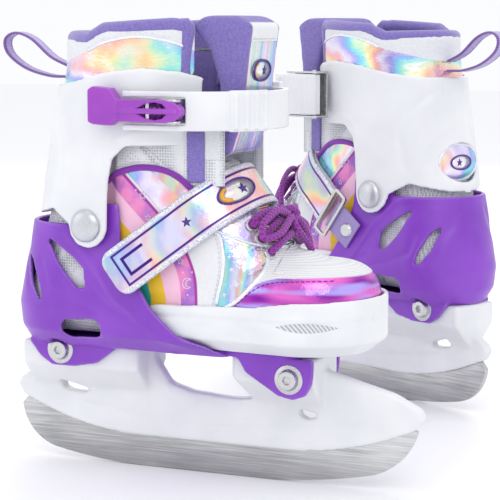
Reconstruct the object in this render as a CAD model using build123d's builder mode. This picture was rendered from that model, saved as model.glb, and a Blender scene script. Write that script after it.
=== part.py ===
"""A pair of child's adjustable ice skates, in millimetres.

Each skate is modelled once in its own frame: +X to the toe, +Y to the medial side, +Z up, with the floor
at z = 0 and x = 0 at the middle of the blade. The pair is then placed, and the whole is centred.
"""
import math
import os

from build123d import *

os.makedirs("parts", exist_ok=True)

# ---- driving dimensions: the runner and its holder
holder_length = 262
blade_thickness = 3.4
blade_flat_length = 70
blade_flat_middle = -10
blade_shown = 18.5
blade_insert = 4
rail_width = 9
tower_width = 40
bolt_hole_radius = 3.05
bolt_radius = 3.0
bolt_head_radius = 6.5
bolt_head_height = 3.6
sleeve_radius = 3.9
rear_bolt = (-90, 72)
front_bolt = (57, 65)

# ---- driving dimensions: the chassis, toe shell and boot
chassis_floor = 76
chassis_plate = 4
chassis_wall = 3
chassis_leg = 3.4
slide_gap = 0.3
soft_gap = 0.4
toe_wall = 2.8
toe_reach = 106
toe_half_width = 44
boot_wall = 4.5
sole_thickness = 3
footbed_thickness = 4
vamp_split = 46
instep_split = 62

# ---- driving dimensions: the cuff and collar
ankle = (-60, 150)
ankle_boss_radius = 13
ankle_button_radius = 9.5
ankle_pin_radius = 4
pin_clearance = 0.05
cuff_wall = 3
cuff_length_low = 118
cuff_length_high = 112
cuff_half_width = 45.5
cuff_low = 136
cuff_high = 242
cuff_x_low = -54
cuff_x_high = -38
front_opening = 52
tilt_radius = 58
collar_wall = 8
collar_top = 266
tongue_width = 46

# ---- driving dimensions: straps and buckle
strap_width = 28
strap_thickness = 2.6
strap_crest = (29, 175)
strap_slope = 52.7
buckle_height = 22
buckle_middle = 217
arm_thickness = 3.2
eyelet_radius = 4
lace_radius = 2.3

# ---- driving dimensions: the pair
pair_offset = (-7, 263)
pair_turn = 155.6

half = holder_length / 2
floor_top = chassis_floor + chassis_plate
toe_floor = floor_top + slide_gap
boot_floor = toe_floor + toe_wall + slide_gap
flat_rear = blade_flat_middle - blade_flat_length / 2
flat_front = blade_flat_middle + blade_flat_length / 2
wide = 400


def hull_of(rear_x, rear_radius, front_x, front_radius):
    """Face of the outline round two circles on the skate's middle line."""
    with BuildSketch() as outline:
        with BuildLine():
            CenterArc((rear_x, 0), rear_radius, 0, 360)
            CenterArc((front_x, 0), front_radius, 0, 360)
        make_hull()
    return outline.face()


def side_slab(points, half_thickness=wide / 2):
    """Solid whose side view is the polygon, centred on the skate's middle plane."""
    with BuildPart() as slab:
        with BuildSketch(Plane.XZ):
            with BuildLine():
                Polyline(*points, close=True)
            make_face()
        extrude(amount=half_thickness, both=True)
    return slab.part


# ================================================================ runner and holder
# Blade: stainless runner, flat under the foot, curved up at both ends.
blade_tip_rear = (2 - half, 32)
blade_tip_front = (half - 4, 36)
with BuildPart() as blade:
    with BuildSketch(Plane.XZ):
        with BuildLine():
            ground = Line((flat_rear, 0), (flat_front, 0))
            toe_rise = TangentArc(ground @ 1, (half - 33, 8), tangent=(1, 0))
            toe_tip = TangentArc(toe_rise @ 1, blade_tip_front, tangent=toe_rise % 1)
            heel_rise = TangentArc(ground @ 0, (26 - half, 6), tangent=(-1, 0))
            heel_tip = TangentArc(heel_rise @ 1, blade_tip_rear, tangent=heel_rise % 1)
            blade_top = blade_shown + blade_insert
            top = Line((flat_rear, blade_top), (flat_front + 20, blade_top))
            top_rear = TangentArc(top @ 0, (10 - half, 41), tangent=(-1, 0))
            top_front = TangentArc(top @ 1, (half - 11, 40), tangent=(1, 0))
            Line(top_rear @ 1, heel_tip @ 1)
            Line(top_front @ 1, toe_tip @ 1)
        make_face()
    extrude(amount=blade_thickness / 2, both=True)

# Blade holder: a narrow rail moulded round the blade, with two towers that widen up to the chassis.
rear_tower = (-118, -40)
front_tower = (20, 71)
with BuildPart() as blade_holder:
    with BuildSketch(Plane.XZ):
        with BuildLine():
            rail = Line((flat_rear, blade_shown), (flat_front + 20, blade_shown))
            rail_rear = TangentArc(rail @ 0, (4 - half, 38), tangent=(-1, 0))
            rail_front = TangentArc(rail @ 1, (half - 5, 37), tangent=(1, 0))
            nose = Polyline(rail_front @ 1, (half, 44), (half - 2, 49), (half - 18, 57), (front_tower[1], 68))
            Line(nose @ 1, (front_tower[1], chassis_floor))
            Line((front_tower[1], chassis_floor), (-118, chassis_floor))
            tail = Polyline((-118, chassis_floor), (-116, 62), (-121, 54), (2 - half, 49), (-half, 44))
            Line(tail @ 1, rail_rear @ 1)
        make_face()
    extrude(amount=rail_width / 2, both=True)
    for tower_rear, tower_front in (rear_tower, front_tower):
        tower_middle = (tower_rear + tower_front) / 2
        tower_long = tower_front - tower_rear
        with BuildSketch(Plane.XY.offset(46)):
            with Locations((tower_middle, 0)):
                Rectangle(tower_long, rail_width)
        with BuildSketch(Plane.XY.offset(62)):
            with Locations((tower_middle, 0)):
                Rectangle(tower_long, tower_width)
        loft(ruled=True)
        with BuildSketch(Plane.XY.offset(62)):
            with Locations((tower_middle, 0)):
                Rectangle(tower_long, tower_width)
        extrude(amount=chassis_floor - 62)
    window = [(-41, 90), (-36, 66), (-27, 53), (-13, 49), (13, 47), (28, 48), (20, 64), (8, 76), (4, 90)]
    add(side_slab(window), mode=Mode.SUBTRACT)
    add(side_slab([(-101, 51), (-99, 43.5), (-71, 41.5)]), mode=Mode.SUBTRACT)
    add(side_slab([(52, 45), (59, 38), (74, 40)]), mode=Mode.SUBTRACT)
    for bolt_x, bolt_z in (rear_bolt, front_bolt):
        with BuildSketch(Plane.XZ):
            with Locations((bolt_x, bolt_z)):
                Circle(sleeve_radius)
        extrude(amount=wide / 2, both=True, mode=Mode.SUBTRACT)
    add(blade.part, mode=Mode.SUBTRACT)

# Steel sleeves that keep the bolts from crushing the towers.
with BuildPart() as mount_sleeves:
    with BuildSketch(Plane.XZ):
        with Locations(rear_bolt, front_bolt):
            Circle(sleeve_radius)
            Circle(bolt_hole_radius, mode=Mode.SUBTRACT)
    extrude(amount=tower_width / 2, both=True)

# Flange bolts and their nuts through the chassis legs and the towers.
leg_outside = tower_width / 2 + chassis_leg
with BuildPart() as mount_screws:
    with BuildSketch(Plane.XZ):
        with Locations(rear_bolt, front_bolt):
            Circle(bolt_radius)
    extrude(amount=leg_outside, both=True)
    for end in (-1, 1):
        with BuildSketch(Plane.XZ.offset(end * leg_outside)):
            with Locations(rear_bolt, front_bolt):
                Circle(bolt_head_radius)
        extrude(amount=end * bolt_head_height, taper=20)
        with BuildSketch(Plane.XZ.offset(end * (leg_outside + bolt_head_height))):
            with Locations(rear_bolt, front_bolt):
                RegularPolygon(2.6, 6)
        extrude(amount=-end * 2.4, mode=Mode.SUBTRACT)

# ================================================================ chassis
# Outlines of the chassis at its floor, its widest level and its top: heel circle and forward circle.
chassis_levels = {
    chassis_floor: ((-91, 27), (12, 30)),
    86: ((-86, 37), (8, 44.5)),
    100: ((-84, 40), (8, 46)),
    150: ((-77, 37), (8, 45)),
}
chassis_top = 168


def chassis_form(inset, low):
    """Closed heel-cup form, drawn in by the inset."""
    levels = sorted(chassis_levels)
    with BuildPart() as form:
        for lower, upper in zip(levels, levels[1:]):
            for level in (lower, upper):
                (rear_x, rear_r), (front_x, front_r) = chassis_levels[level]
                with BuildSketch(Plane.XY.offset(level)):
                    add(hull_of(rear_x, rear_r - inset, front_x, front_r - inset))
            loft(ruled=True)
        (rear_x, rear_r), (front_x, front_r) = chassis_levels[levels[-1]]
        with BuildSketch(Plane.XY.offset(levels[-1])):
            add(hull_of(rear_x, rear_r - inset, front_x, front_r - inset))
        extrude(amount=chassis_top - levels[-1])
        with BuildSketch(Plane.XY.offset(chassis_floor - 1)):
            Rectangle(wide, wide)
        extrude(amount=low - chassis_floor + 1, mode=Mode.SUBTRACT)
    return form.part


cup_profile = [(-140, chassis_floor), (22, chassis_floor), (12, 84), (-5, 90), (-20, 104), (-31, 120),
               (-40, 140), (-42, 163), (-72, 163), (-74, 150), (-140, 150)]
with BuildPart() as chassis:
    add(chassis_form(0, chassis_floor))
    add(side_slab(cup_profile), mode=Mode.INTERSECT)
    with BuildSketch(Plane.XY.offset(chassis_floor)):
        add(hull_of(-91, 27, 45, 25))
    extrude(amount=chassis_plate)
    add(chassis_form(chassis_wall, floor_top), mode=Mode.SUBTRACT)
    with BuildSketch(Plane.XY.offset(chassis_floor)):
        add(hull_of(-91, 27, 45, 25))
    extrude(amount=chassis_plate)
    # legs outside both towers
    rear_leg = [(-112, 77), (-104, 67), (-96, 62), (-82, 62), (-66, 65), (-50, 77)]
    front_leg = [(24, 77), (30, 67), (50, 55), (59, 53), (67, 56), (71, 63), (72, 77)]
    for leg in (rear_leg, front_leg):
        for end in (-1, 1):
            with BuildSketch(Plane.XZ.offset(end * tower_width / 2)):
                with BuildLine():
                    Polyline(*leg, close=True)
                make_face()
            extrude(amount=end * chassis_leg)
    for bolt_x, bolt_z in (rear_bolt, front_bolt):
        with BuildSketch(Plane.XZ):
            with Locations((bolt_x, bolt_z)):
                Circle(bolt_hole_radius)
        extrude(amount=wide / 2, both=True, mode=Mode.SUBTRACT)
    # seats of the bolt heads
    for end in (-1, 1):
        with BuildSketch(Plane.XZ.offset(end * leg_outside)):
            with Locations(rear_bolt, front_bolt):
                Circle(bolt_head_radius + 1)
        extrude(amount=end * 30, mode=Mode.SUBTRACT)
    # ankle pivot holes, oval windows and slanted vents on both sides
    with BuildSketch(Plane.XZ):
        with Locations(ankle):
            Circle(ankle_pin_radius + pin_clearance)
    extrude(amount=wide / 2, both=True, mode=Mode.SUBTRACT)
    for end in (-1, 1):
        with BuildSketch(Plane.XZ.offset(end * 28.5)):
            with Locations(Location((-68, 88.5), 4)):
                SlotCenterToCenter(16, 11)
            with Locations(Location((-66, 130), -52)):
                SlotCenterToCenter(22, 9)
            with Locations(Location((-92, 124), -52)):
                SlotCenterToCenter(20, 8)
        extrude(amount=end * 40, mode=Mode.SUBTRACT)

# ================================================================ toe shell with its size button
rim_line = [(-24, 60), (120, 60), (120, 114.5), (86, 113), (64, 112), (39, 108), (28, 108), (-20, 106),
            (-24, 105)]
toe_rear = (-40, 37.5)
button_place = (58, 96)
button_radius = 6
boss_depth = 7


def toe_outline(inset):
    """Plan of the toe shell, drawn in by the inset."""
    return hull_of(toe_rear[0], toe_rear[1] - inset, toe_reach - toe_half_width, toe_half_width - inset)


with BuildPart() as toe_shell:
    for low, high, low_inset, high_inset in ((toe_floor, 88, 10, 0), (88, 116, 0, 0)):
        for level, inset in ((low, low_inset), (high, high_inset)):
            with BuildSketch(Plane.XY.offset(level)):
                add(toe_outline(inset))
        loft(ruled=True)
    with BuildPart(mode=Mode.PRIVATE) as toe_room:
        inside_levels = ((toe_floor + toe_wall, 89, 12, toe_wall), (89, 117, toe_wall, toe_wall))
        for low, high, low_inset, high_inset in inside_levels:
            for level, inset in ((low, low_inset), (high, high_inset)):
                with BuildSketch(Plane.XY.offset(level)):
                    add(toe_outline(inset))
            loft(ruled=True)
    add(toe_room.part, mode=Mode.SUBTRACT)
    boss_face = toe_half_width - 1
    with BuildSketch(Plane.XZ.offset(-boss_face)):
        with Locations(button_place):
            Circle(button_radius + 3)
    extrude(amount=boss_depth)
    with BuildSketch(Plane.XZ.offset(-boss_face - 3)):
        with Locations(button_place):
            Circle(button_radius + pin_clearance)
    extrude(amount=boss_depth + 3 - 1.5, mode=Mode.SUBTRACT)
    add(side_slab(rim_line), mode=Mode.INTERSECT)

# Push button of the size adjustment, and the spring behind it.
button_back = boss_face - 3.5
pocket_end = boss_face - boss_depth + 1.5
with BuildPart() as size_button:
    with BuildSketch(Plane.XZ.offset(-boss_face - 1.5)):
        with Locations(button_place):
            Circle(button_radius)
    extrude(amount=boss_face + 1.5 - button_back)
    chamfer(size_button.edges().sort_by(Axis.Y)[-1], 0.8)

with BuildPart() as size_spring:
    with BuildSketch(Plane.XZ.offset(-button_back + pin_clearance)):
        with Locations(button_place):
            Circle(button_radius - 1)
            Circle(button_radius - 2.2, mode=Mode.SUBTRACT)
    extrude(amount=button_back - pin_clearance - pocket_end)

# ================================================================ soft boot
# The forefoot is a loft of arched sections along the foot; the instep is an arched pipe up the foot's slope.
toe_sections = ((-30, 34.5, 130), (0, 35.6, 140), (30, 37.2, 140), (60, 38, 136), (80, 32, 129),
                (91.5, 20, 117))
boot_edge = 9.5


def arch_face(half_width, low, high):
    """Arched section standing on a flat base, drawn with its width along the sketch's x."""
    with BuildSketch() as arch:
        with BuildLine():
            spring_line = low + (high - low) * 0.45
            base = Line((boot_edge - half_width, low), (half_width - boot_edge, low))
            Polyline(base @ 1, (half_width, low + boot_edge), (half_width, spring_line))
            EllipticalCenterArc((0, spring_line), half_width, high - spring_line, arc_size=180)
            Polyline((-half_width, spring_line), (-half_width, low + boot_edge), base @ 0)
        make_face()
    return arch.face()


def forefoot(inset, low):
    """Forefoot form, drawn in by the inset."""
    with BuildPart() as form:
        for section_x, half_width, high in toe_sections:
            with BuildSketch(Plane((section_x, 0, 0), x_dir=(0, 1, 0), z_dir=(1, 0, 0))):
                add(arch_face(half_width - inset, low, high - inset))
        loft(ruled=True)
    return form.part


slope_dir = (math.cos(math.radians(strap_slope)), 0, -math.sin(math.radians(strap_slope)))
up_dir = (math.sin(math.radians(strap_slope)), 0, math.cos(math.radians(strap_slope)))
slope_plane = Plane((strap_crest[0], 0, strap_crest[1]), x_dir=(0, 1, 0), z_dir=slope_dir)
# On this plane the sketch's y runs down into the boot, away from the crest.
strap_inside = -2 * strap_thickness - soft_gap
instep_half_width = 36.5
instep_shoulder = 40
instep_low = 112
down_sign = -1 if slope_plane.y_dir.dot(Vector(*up_dir)) > 0 else 1


def instep_arch(half_width, crest, depth):
    """Arched section across the instep, on the slope plane, crest pulled in by the given amount."""
    with BuildSketch() as arch:
        with BuildLine():
            right = Line((half_width, -depth), (half_width, -instep_shoulder))
            rise = instep_shoulder + crest
            crown = EllipticalCenterArc((0, -instep_shoulder), half_width, rise, arc_size=180)
            left = Line(crown @ 1, (-half_width, -depth))
            Line(left @ 1, right @ 0)
        make_face()
    return arch.face()


def instep(inset):
    """Instep form, drawn in by the inset."""
    with BuildPart() as form:
        with BuildSketch(slope_plane):
            face = instep_arch(instep_half_width - inset, strap_inside - inset, 100)
            if down_sign > 0:
                face = face.mirror(Plane.XZ)
            add(face)
        extrude(amount=60, both=True)
        add(side_slab([(-46, instep_low), (70, instep_low), (70, 210), (-46, 210)]), mode=Mode.INTERSECT)
    return form.part


def heel(inset, low):
    """Heel and ankle form inside the chassis, drawn in by the inset."""
    levels = ((low, -91, 21, 24), (100, -84, 35.5, 35), (150, -72, 32.5, 35), (215, -54, 31, 34))
    with BuildPart() as form:
        for lower, upper in zip(levels, levels[1:]):
            for level, rear_x, rear_r, front_r in (lower, upper):
                with BuildSketch(Plane.XY.offset(level)):
                    add(hull_of(rear_x, rear_r - inset, -22, front_r - inset))
            loft(ruled=True)
    return form.part


def boot_form(inset, low):
    """Whole foot form of the boot below the collar."""
    with BuildPart() as form:
        add(heel(inset, low))
        add(instep(inset))
        add(forefoot(inset, low))
        add(side_slab([(-140, low), (110, low), (110, 150), (34, 158), (14, 186), (-22, 205), (-140, 205)]),
            mode=Mode.INTERSECT)
    return form.part


with BuildPart() as boot:
    add(boot_form(0, boot_floor))
    add(boot_form(boot_wall, boot_floor + sole_thickness), mode=Mode.SUBTRACT)

# The upper parts along this edge, which steps forward over the instep, so the vamp slides clear of the laces.
split_edge = [(vamp_split, 60), (vamp_split, 110), (instep_split, 124), (instep_split, 186)]

# Top edge of the quarter: an arc about the ankle, then down to the instep.
with BuildPart() as quarter_keep:
    with BuildSketch(Plane.XZ):
        with Locations(ankle):
            Circle(tilt_radius - soft_gap)
    extrude(amount=wide / 2, both=True)
    rear_edge = [(x - soft_gap, z) for x, z in split_edge]
    add(side_slab([(-140, 60), *rear_edge, (-5, 186.5), (-22, 190), (-30, 150), (-140, 150)]))

with BuildPart() as boot_quarter:
    add(boot.part)
    add(quarter_keep.part, mode=Mode.INTERSECT)

with BuildPart() as boot_vamp:
    add(boot.part)
    front_edge = [(x + soft_gap, z) for x, z in split_edge]
    add(side_slab([*front_edge, (120, 186), (120, 60)]), mode=Mode.INTERSECT)
    with BuildSketch(Plane.XZ.offset(-36)):
        with Locations(button_place):
            Circle(button_radius + 4)
    extrude(amount=-20, mode=Mode.SUBTRACT)

# Footbed: insole that lies in the boot.
footbed_level = boot_floor + sole_thickness + 0.05
with BuildPart() as footbed:
    with BuildSketch(Plane.XY.offset(footbed_level)):
        add(hull_of(-91, 15, -22, 19))
        add(hull_of(-22, 19, vamp_split - 24, 22))
    extrude(amount=footbed_thickness)

# ================================================================ cuff and collar
def cuff_form(inset, low, high):
    """Leaning rounded tube of the cuff, drawn in by the inset."""
    with BuildPart() as form:
        for level in (low, high):
            share = (level - cuff_low) / (cuff_high - cuff_low)
            middle = cuff_x_low + share * (cuff_x_high - cuff_x_low)
            long_side = cuff_length_low + share * (cuff_length_high - cuff_length_low)
            with BuildSketch(Plane.XY.offset(level)):
                with Locations((middle, 0)):
                    Ellipse(long_side / 2 - inset, cuff_half_width - inset)
        loft(ruled=True)
    return form.part


cuff_side = [(-130, 151), (-112, 151), (-87, 158), (-73, 150), (-60, 150), (-47, 150), (-46, 175), (-43, 189),
             (-35, 196), (30, 198), (30, 226), (11, 234), (-5, 239), (-24, 241), (-49, 238), (-69, 233),
             (-90, 230), (-130, 229)]
rear_window = (172, 19, 13)
with BuildPart() as cuff:
    add(cuff_form(0, cuff_low, cuff_high))
    add(cuff_form(cuff_wall, cuff_low, cuff_high), mode=Mode.SUBTRACT)
    with BuildPart(mode=Mode.PRIVATE) as cuff_keep:
        add(side_slab(cuff_side))
        with BuildSketch(Plane.XZ):
            with Locations(ankle):
                Circle(ankle_boss_radius)
        extrude(amount=wide / 2, both=True)
    add(cuff_keep.part, mode=Mode.INTERSECT)
    with BuildSketch(Plane.XY.offset(cuff_low)):
        with Locations((40, 0)):
            Rectangle(100, front_opening)
    extrude(amount=cuff_high, mode=Mode.SUBTRACT)
    with BuildSketch(Plane.XZ):
        with Locations(ankle):
            Circle(ankle_pin_radius)
    extrude(amount=wide / 2, both=True, mode=Mode.SUBTRACT)
    with BuildSketch(Plane.YZ.offset(-80)):
        with Locations((0, rear_window[0])):
            Ellipse(rear_window[1], rear_window[2])
    extrude(amount=-60, mode=Mode.SUBTRACT)

# Ankle buttons: domed rivets that the cuff tilts on, fixed in the cuff and turning in the chassis.
cuff_side_face = 45.4
chassis_side_inner = 36
with BuildPart() as ankle_rivets:
    for end in (-1, 1):
        with BuildSketch(Plane.XZ.offset(end * (cuff_side_face + 0.1))):
            with Locations(ankle):
                Circle(ankle_button_radius)
        extrude(amount=end * 3, taper=25)
        with BuildSketch(Plane.XZ.offset(end * (cuff_side_face + 0.1))):
            with Locations(ankle):
                Circle(ankle_pin_radius)
        extrude(amount=-end * (cuff_side_face + 0.1 - chassis_side_inner))

# Collar: padded ring that lines the cuff and stands above it.
collar_gap = 0.35
with BuildPart() as collar:
    add(cuff_form(cuff_wall + collar_gap, 160, cuff_high))
    with BuildSketch(Plane.XY.offset(cuff_high)):
        with Locations((cuff_x_high, 0)):
            Ellipse(cuff_length_high / 2 - cuff_wall - collar_gap, cuff_half_width - cuff_wall - collar_gap)
    extrude(amount=collar_top - cuff_high)
    add(cuff_form(cuff_wall + collar_gap + collar_wall, 150, cuff_high + 30), mode=Mode.SUBTRACT)
    with BuildSketch(Plane.XZ):
        with Locations(ankle):
            Circle(tilt_radius)
    extrude(amount=wide / 2, both=True, mode=Mode.SUBTRACT)
    add(side_slab([(-140, 198), (40, 198), (40, 222), (12, 252), (2, 264), (-10, 266), (-50, 263), (-62, 256),
                   (-76, 258), (-140, 262)]), mode=Mode.INTERSECT)
    with BuildSketch(Plane.XY.offset(cuff_low)):
        with Locations((40, 0)):
            Rectangle(100, front_opening + 2)
    extrude(amount=cuff_high, mode=Mode.SUBTRACT)

# Tongue: padded, from the instep up inside the front opening.
tongue_line = [(10, 190.5), (20, 190.5), (28, 215), (31, 245), (34, 265), (25, 270), (4, 270), (-4, 264),
               (8, 250), (14, 230), (12, 205)]
with BuildPart() as tongue:
    add(side_slab(tongue_line, tongue_width / 2))
    add(instep(0), mode=Mode.SUBTRACT)

# Pull loop: webbing loop at the back of the collar, drooping to the rear.
loop_width = 9
loop_thickness = 1.6
with BuildPart() as pull_loop:
    with BuildSketch(Plane.XZ):
        with BuildLine() as loop_line:
            FilletPolyline((-94.5, 233), (-116, 236), (-134, 247), (-133, 258), (-120, 258), (-94.5, 241),
                           radius=(14, 7, 4, 9))
        trace(line_width=loop_thickness)
    extrude(amount=loop_width / 2, both=True)

# ================================================================ instep strap, ring and tab
ring_depth = 60
end_depth = 88
strap_flare = 0.17


def strap_band(outset, low_left, low_right):
    """Arched band outline on the slope plane: its outer face stands out from the boot by the outset."""
    half_width = instep_half_width + outset
    with BuildSketch() as band:
        with BuildLine():
            crest = instep_shoulder + strap_inside + outset
            right_end = (half_width + strap_flare * (low_right - instep_shoulder), -low_right)
            left_end = (-half_width - strap_flare * (low_left - instep_shoulder), -low_left)
            Line(right_end, (half_width, -instep_shoulder))
            crown = EllipticalCenterArc((0, -instep_shoulder), half_width, crest, arc_size=180)
            Line(crown @ 1, left_end)
            Line(left_end, right_end)
        make_face()
    return band.face()


with BuildPart() as instep_strap:
    with BuildSketch(slope_plane):
        outer = strap_band(soft_gap + 2 * strap_thickness, end_depth, ring_depth)
        inner = strap_band(soft_gap, end_depth + 2, ring_depth + 2)
        if down_sign > 0:
            outer = outer.mirror(Plane.XZ)
            inner = inner.mirror(Plane.XZ)
        add(outer)
        add(inner, mode=Mode.SUBTRACT)
    extrude(amount=strap_width / 2, both=True)

# Wire ring that the strap turns round, flat against the medial side.
ring_wire = 2.4
ring_long = strap_width + 9
ring_high = 13
ring_plane = Plane((strap_crest[0], 0, strap_crest[1]), x_dir=slope_dir, z_dir=(0, 1, 0))
ring_up = 1 if ring_plane.y_dir.dot(Vector(*up_dir)) > 0 else -1
tab_face = 43.4
tab_width = 22
tab_thickness = 1.7
tab_top = -ring_depth - 7
tab_bottom = -ring_depth - 32
ring_face = tab_face + tab_thickness + 0.1
with BuildPart() as strap_ring:
    with BuildSketch(ring_plane.offset(ring_face)):
        with Locations((0, ring_up * (-ring_depth - 0.2 - ring_high / 2))):
            RectangleRounded(ring_long, ring_high, 3)
            RectangleRounded(ring_long - 2 * ring_wire, ring_high - 2 * ring_wire, 1, mode=Mode.SUBTRACT)
    extrude(amount=ring_wire)

# Webbing tab from the ring's lower bar to its rivet on the chassis.
with BuildPart() as ring_tab:
    with BuildSketch(ring_plane.offset(tab_face)):
        with Locations((0, ring_up * (tab_top + tab_bottom) / 2)):
            Rectangle(tab_width, tab_top - tab_bottom)
    extrude(amount=tab_thickness)

with BuildPart() as tab_rivet:
    with BuildSketch(ring_plane.offset(tab_face + tab_thickness)):
        with Locations((0, ring_up * (tab_bottom + 7))):
            Circle(5)
    extrude(amount=1.6, taper=30)

# ================================================================ eyelets and laces
eyelet_rows = (21, 30.5, 40)
eyelet_side = 20


def on_instep(along, across, lift):
    """Point over the instep: along its slope from the strap's middle, across it, and lifted off it."""
    rise = instep_shoulder + strap_inside
    depth = -instep_shoulder + rise * math.sqrt(1 - (across / instep_half_width) ** 2)
    normal = Vector(0, across / instep_half_width ** 2, 0)
    normal += Vector(*up_dir) * ((depth + instep_shoulder) / rise ** 2)
    point = Vector(strap_crest[0], across, strap_crest[1])
    point += Vector(*slope_dir) * along + Vector(*up_dir) * depth
    return point + normal.normalized() * lift, normal.normalized()


with BuildPart() as eyelets:
    for along in eyelet_rows:
        for across in (-eyelet_side, eyelet_side):
            place, normal = on_instep(along, across, 0.15)
            with BuildSketch(Plane(place, x_dir=slope_dir, z_dir=normal)):
                Circle(eyelet_radius)
                Circle(eyelet_radius - 1.5, mode=Mode.SUBTRACT)
            extrude(amount=1.2)

# Laces: crossings between the eyelets and the two loops of the bow.
lace_lift = lace_radius + 1.1
lace_runs = []
for row, along in enumerate(eyelet_rows):
    across = eyelet_side if row % 2 else -eyelet_side
    lace_runs.append([(along - 4, across, lace_lift + 1.6), (along - 2, across / 2, lace_lift + 0.6),
                      (along + 2, -across / 2, lace_lift + 0.6), (along + 4, -across, lace_lift + 1.6)])
lace_runs.append([(29, 6, 8), (27, 20, 12), (34, 31, 11), (40, 22, 9), (32, 8, 9)])
with BuildPart() as laces:
    for run in lace_runs:
        with BuildLine():
            lace_path = FilletPolyline(*[on_instep(*place)[0] for place in run], radius=lace_radius * 2)
        with BuildSketch(Plane(lace_path @ 0, z_dir=lace_path % 0)):
            Circle(lace_radius)
        sweep(path=lace_path)

# ================================================================ buckle
arm_low = buckle_middle - buckle_height / 2
fork_rear = -33


def wrap_line(outset):
    """Plan line of the strap arm: along the lateral side, round the front, to the medial ratchet."""
    with BuildLine() as plan:
        side_run = Line((fork_rear, -48 - outset), (-4, -47 - outset))
        front_turn = TangentArc(side_run @ 1, (40 + outset, -4), tangent=side_run % 1)
        TangentArc(front_turn @ 1, (16, 46 + outset), tangent=front_turn % 1)
    return plan.wires()[0]


with BuildPart() as buckle_strap:
    with BuildSketch(Plane.XY.offset(arm_low)):
        trace(wrap_line(arm_thickness / 2), line_width=arm_thickness)
    extrude(amount=buckle_height)
    with BuildSketch(Plane.XZ.offset(20)):
        with Locations((-17, buckle_middle)):
            Rectangle(44, 15.4)
    extrude(amount=60, mode=Mode.SUBTRACT)

lever_pin = (0, -53)
with BuildPart() as buckle_base:
    with BuildSketch(Plane.XY.offset(buckle_middle - 6.8)):
        with BuildLine():
            Polyline((-30, -45.9), (-30, -47.1), (2, -47.1), (3, -40), (1.6, -40), (0.6, -45.9), close=True)
        make_face()
    extrude(amount=13.6)
    for end in (-1, 1):
        with BuildSketch(Plane.XY.offset(buckle_middle + end * 6.0 - 0.7)):
            with BuildLine():
                Polyline((-8, -47), (-4, -55), (4, -55), (2, -47), close=True)
            make_face()
        extrude(amount=1.4)
    with BuildSketch(Plane.XY.offset(buckle_middle - 20)):
        with Locations(lever_pin):
            Circle(1.5)
    extrude(amount=40, mode=Mode.SUBTRACT)

with BuildPart() as buckle_lever:
    with BuildSketch(Plane.XZ.offset(48.2)):
        with BuildLine():
            Polyline((-51, 209.5), (-37, 209.5), (-35, 210.5), (2, 210.5), (5, 214), (5, 220), (2, 223.5),
                     (-35, 224), (-37, 230), (-51, 229.5), close=True)
        make_face()
    extrude(amount=8)
    with BuildSketch(Plane.XY.offset(buckle_middle - 7)):
        with Locations((-1, -52)):
            Rectangle(16, 14)
    extrude(amount=14, mode=Mode.SUBTRACT)
    with BuildSketch(Plane.XY.offset(buckle_middle - 5)):
        with BuildLine():
            Polyline((-22, -48.6), (-22, -56), (4.5, -56), (4.5, -50.4), (-2, -48.6), close=True)
        make_face()
    extrude(amount=10)
    with BuildSketch(Plane.XY.offset(buckle_middle - 20)):
        with Locations(lever_pin, (-16, -53)):
            Circle(1.5 + pin_clearance)
    extrude(amount=40, mode=Mode.SUBTRACT)

with BuildPart() as buckle_pins:
    with BuildSketch(Plane.XY.offset(buckle_middle - 7.2)):
        with Locations(lever_pin):
            Circle(1.5)
    extrude(amount=14.4)
    with BuildSketch(Plane.XY.offset(buckle_middle - 17)):
        with Locations((-14, 52.5)):
            Circle(1.5)
    extrude(amount=34)

with BuildPart() as strap_pin:
    with BuildSketch(Plane.XY.offset(buckle_middle - 6)):
        with Locations((-16, -53)):
            Circle(1.5)
    extrude(amount=12)

# Ratchet: metal frame on the medial front of the cuff, and the ribbed lever that grips the strap's teeth.
frame_ear = 1.4
with BuildPart() as ratchet_frame:
    with BuildSketch(Plane.XY.offset(buckle_middle - 16)):
        with BuildLine():
            Polyline((-20, 46.2), (12, 46.2), (12, 45), (-20, 45), close=True)
        make_face()
    extrude(amount=32)
    for end in (-1, 1):
        with BuildSketch(Plane.XY.offset(buckle_middle + end * (16 - frame_ear / 2) - frame_ear / 2)):
            with Locations((-5, 51)):
                Rectangle(30, 11)
        extrude(amount=frame_ear)
    with BuildSketch(Plane.XY.offset(buckle_middle - 20)):
        with Locations((-14, 52.5)):
            Circle(1.5)
    extrude(amount=40, mode=Mode.SUBTRACT)

with BuildPart() as ratchet_lever:
    with BuildSketch(Plane.XY.offset(buckle_middle - 14)):
        with BuildLine():
            Polyline((-18, 50.6), (4, 50.6), (22, 50.6), (22, 56), (8, 60), (-14, 60), (-18, 56), close=True)
        make_face()
    extrude(amount=28)
    with BuildSketch(Plane.XY.offset(buckle_middle - 20)):
        with Locations((-14, 52.5)):
            Circle(1.5 + pin_clearance)
    extrude(amount=40, mode=Mode.SUBTRACT)

with BuildPart() as cuff_rivets:
    with BuildSketch(Plane.XZ.offset(47.1)):
        with Locations((-24, buckle_middle)):
            Circle(2.5)
    extrude(amount=0.8)

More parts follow.
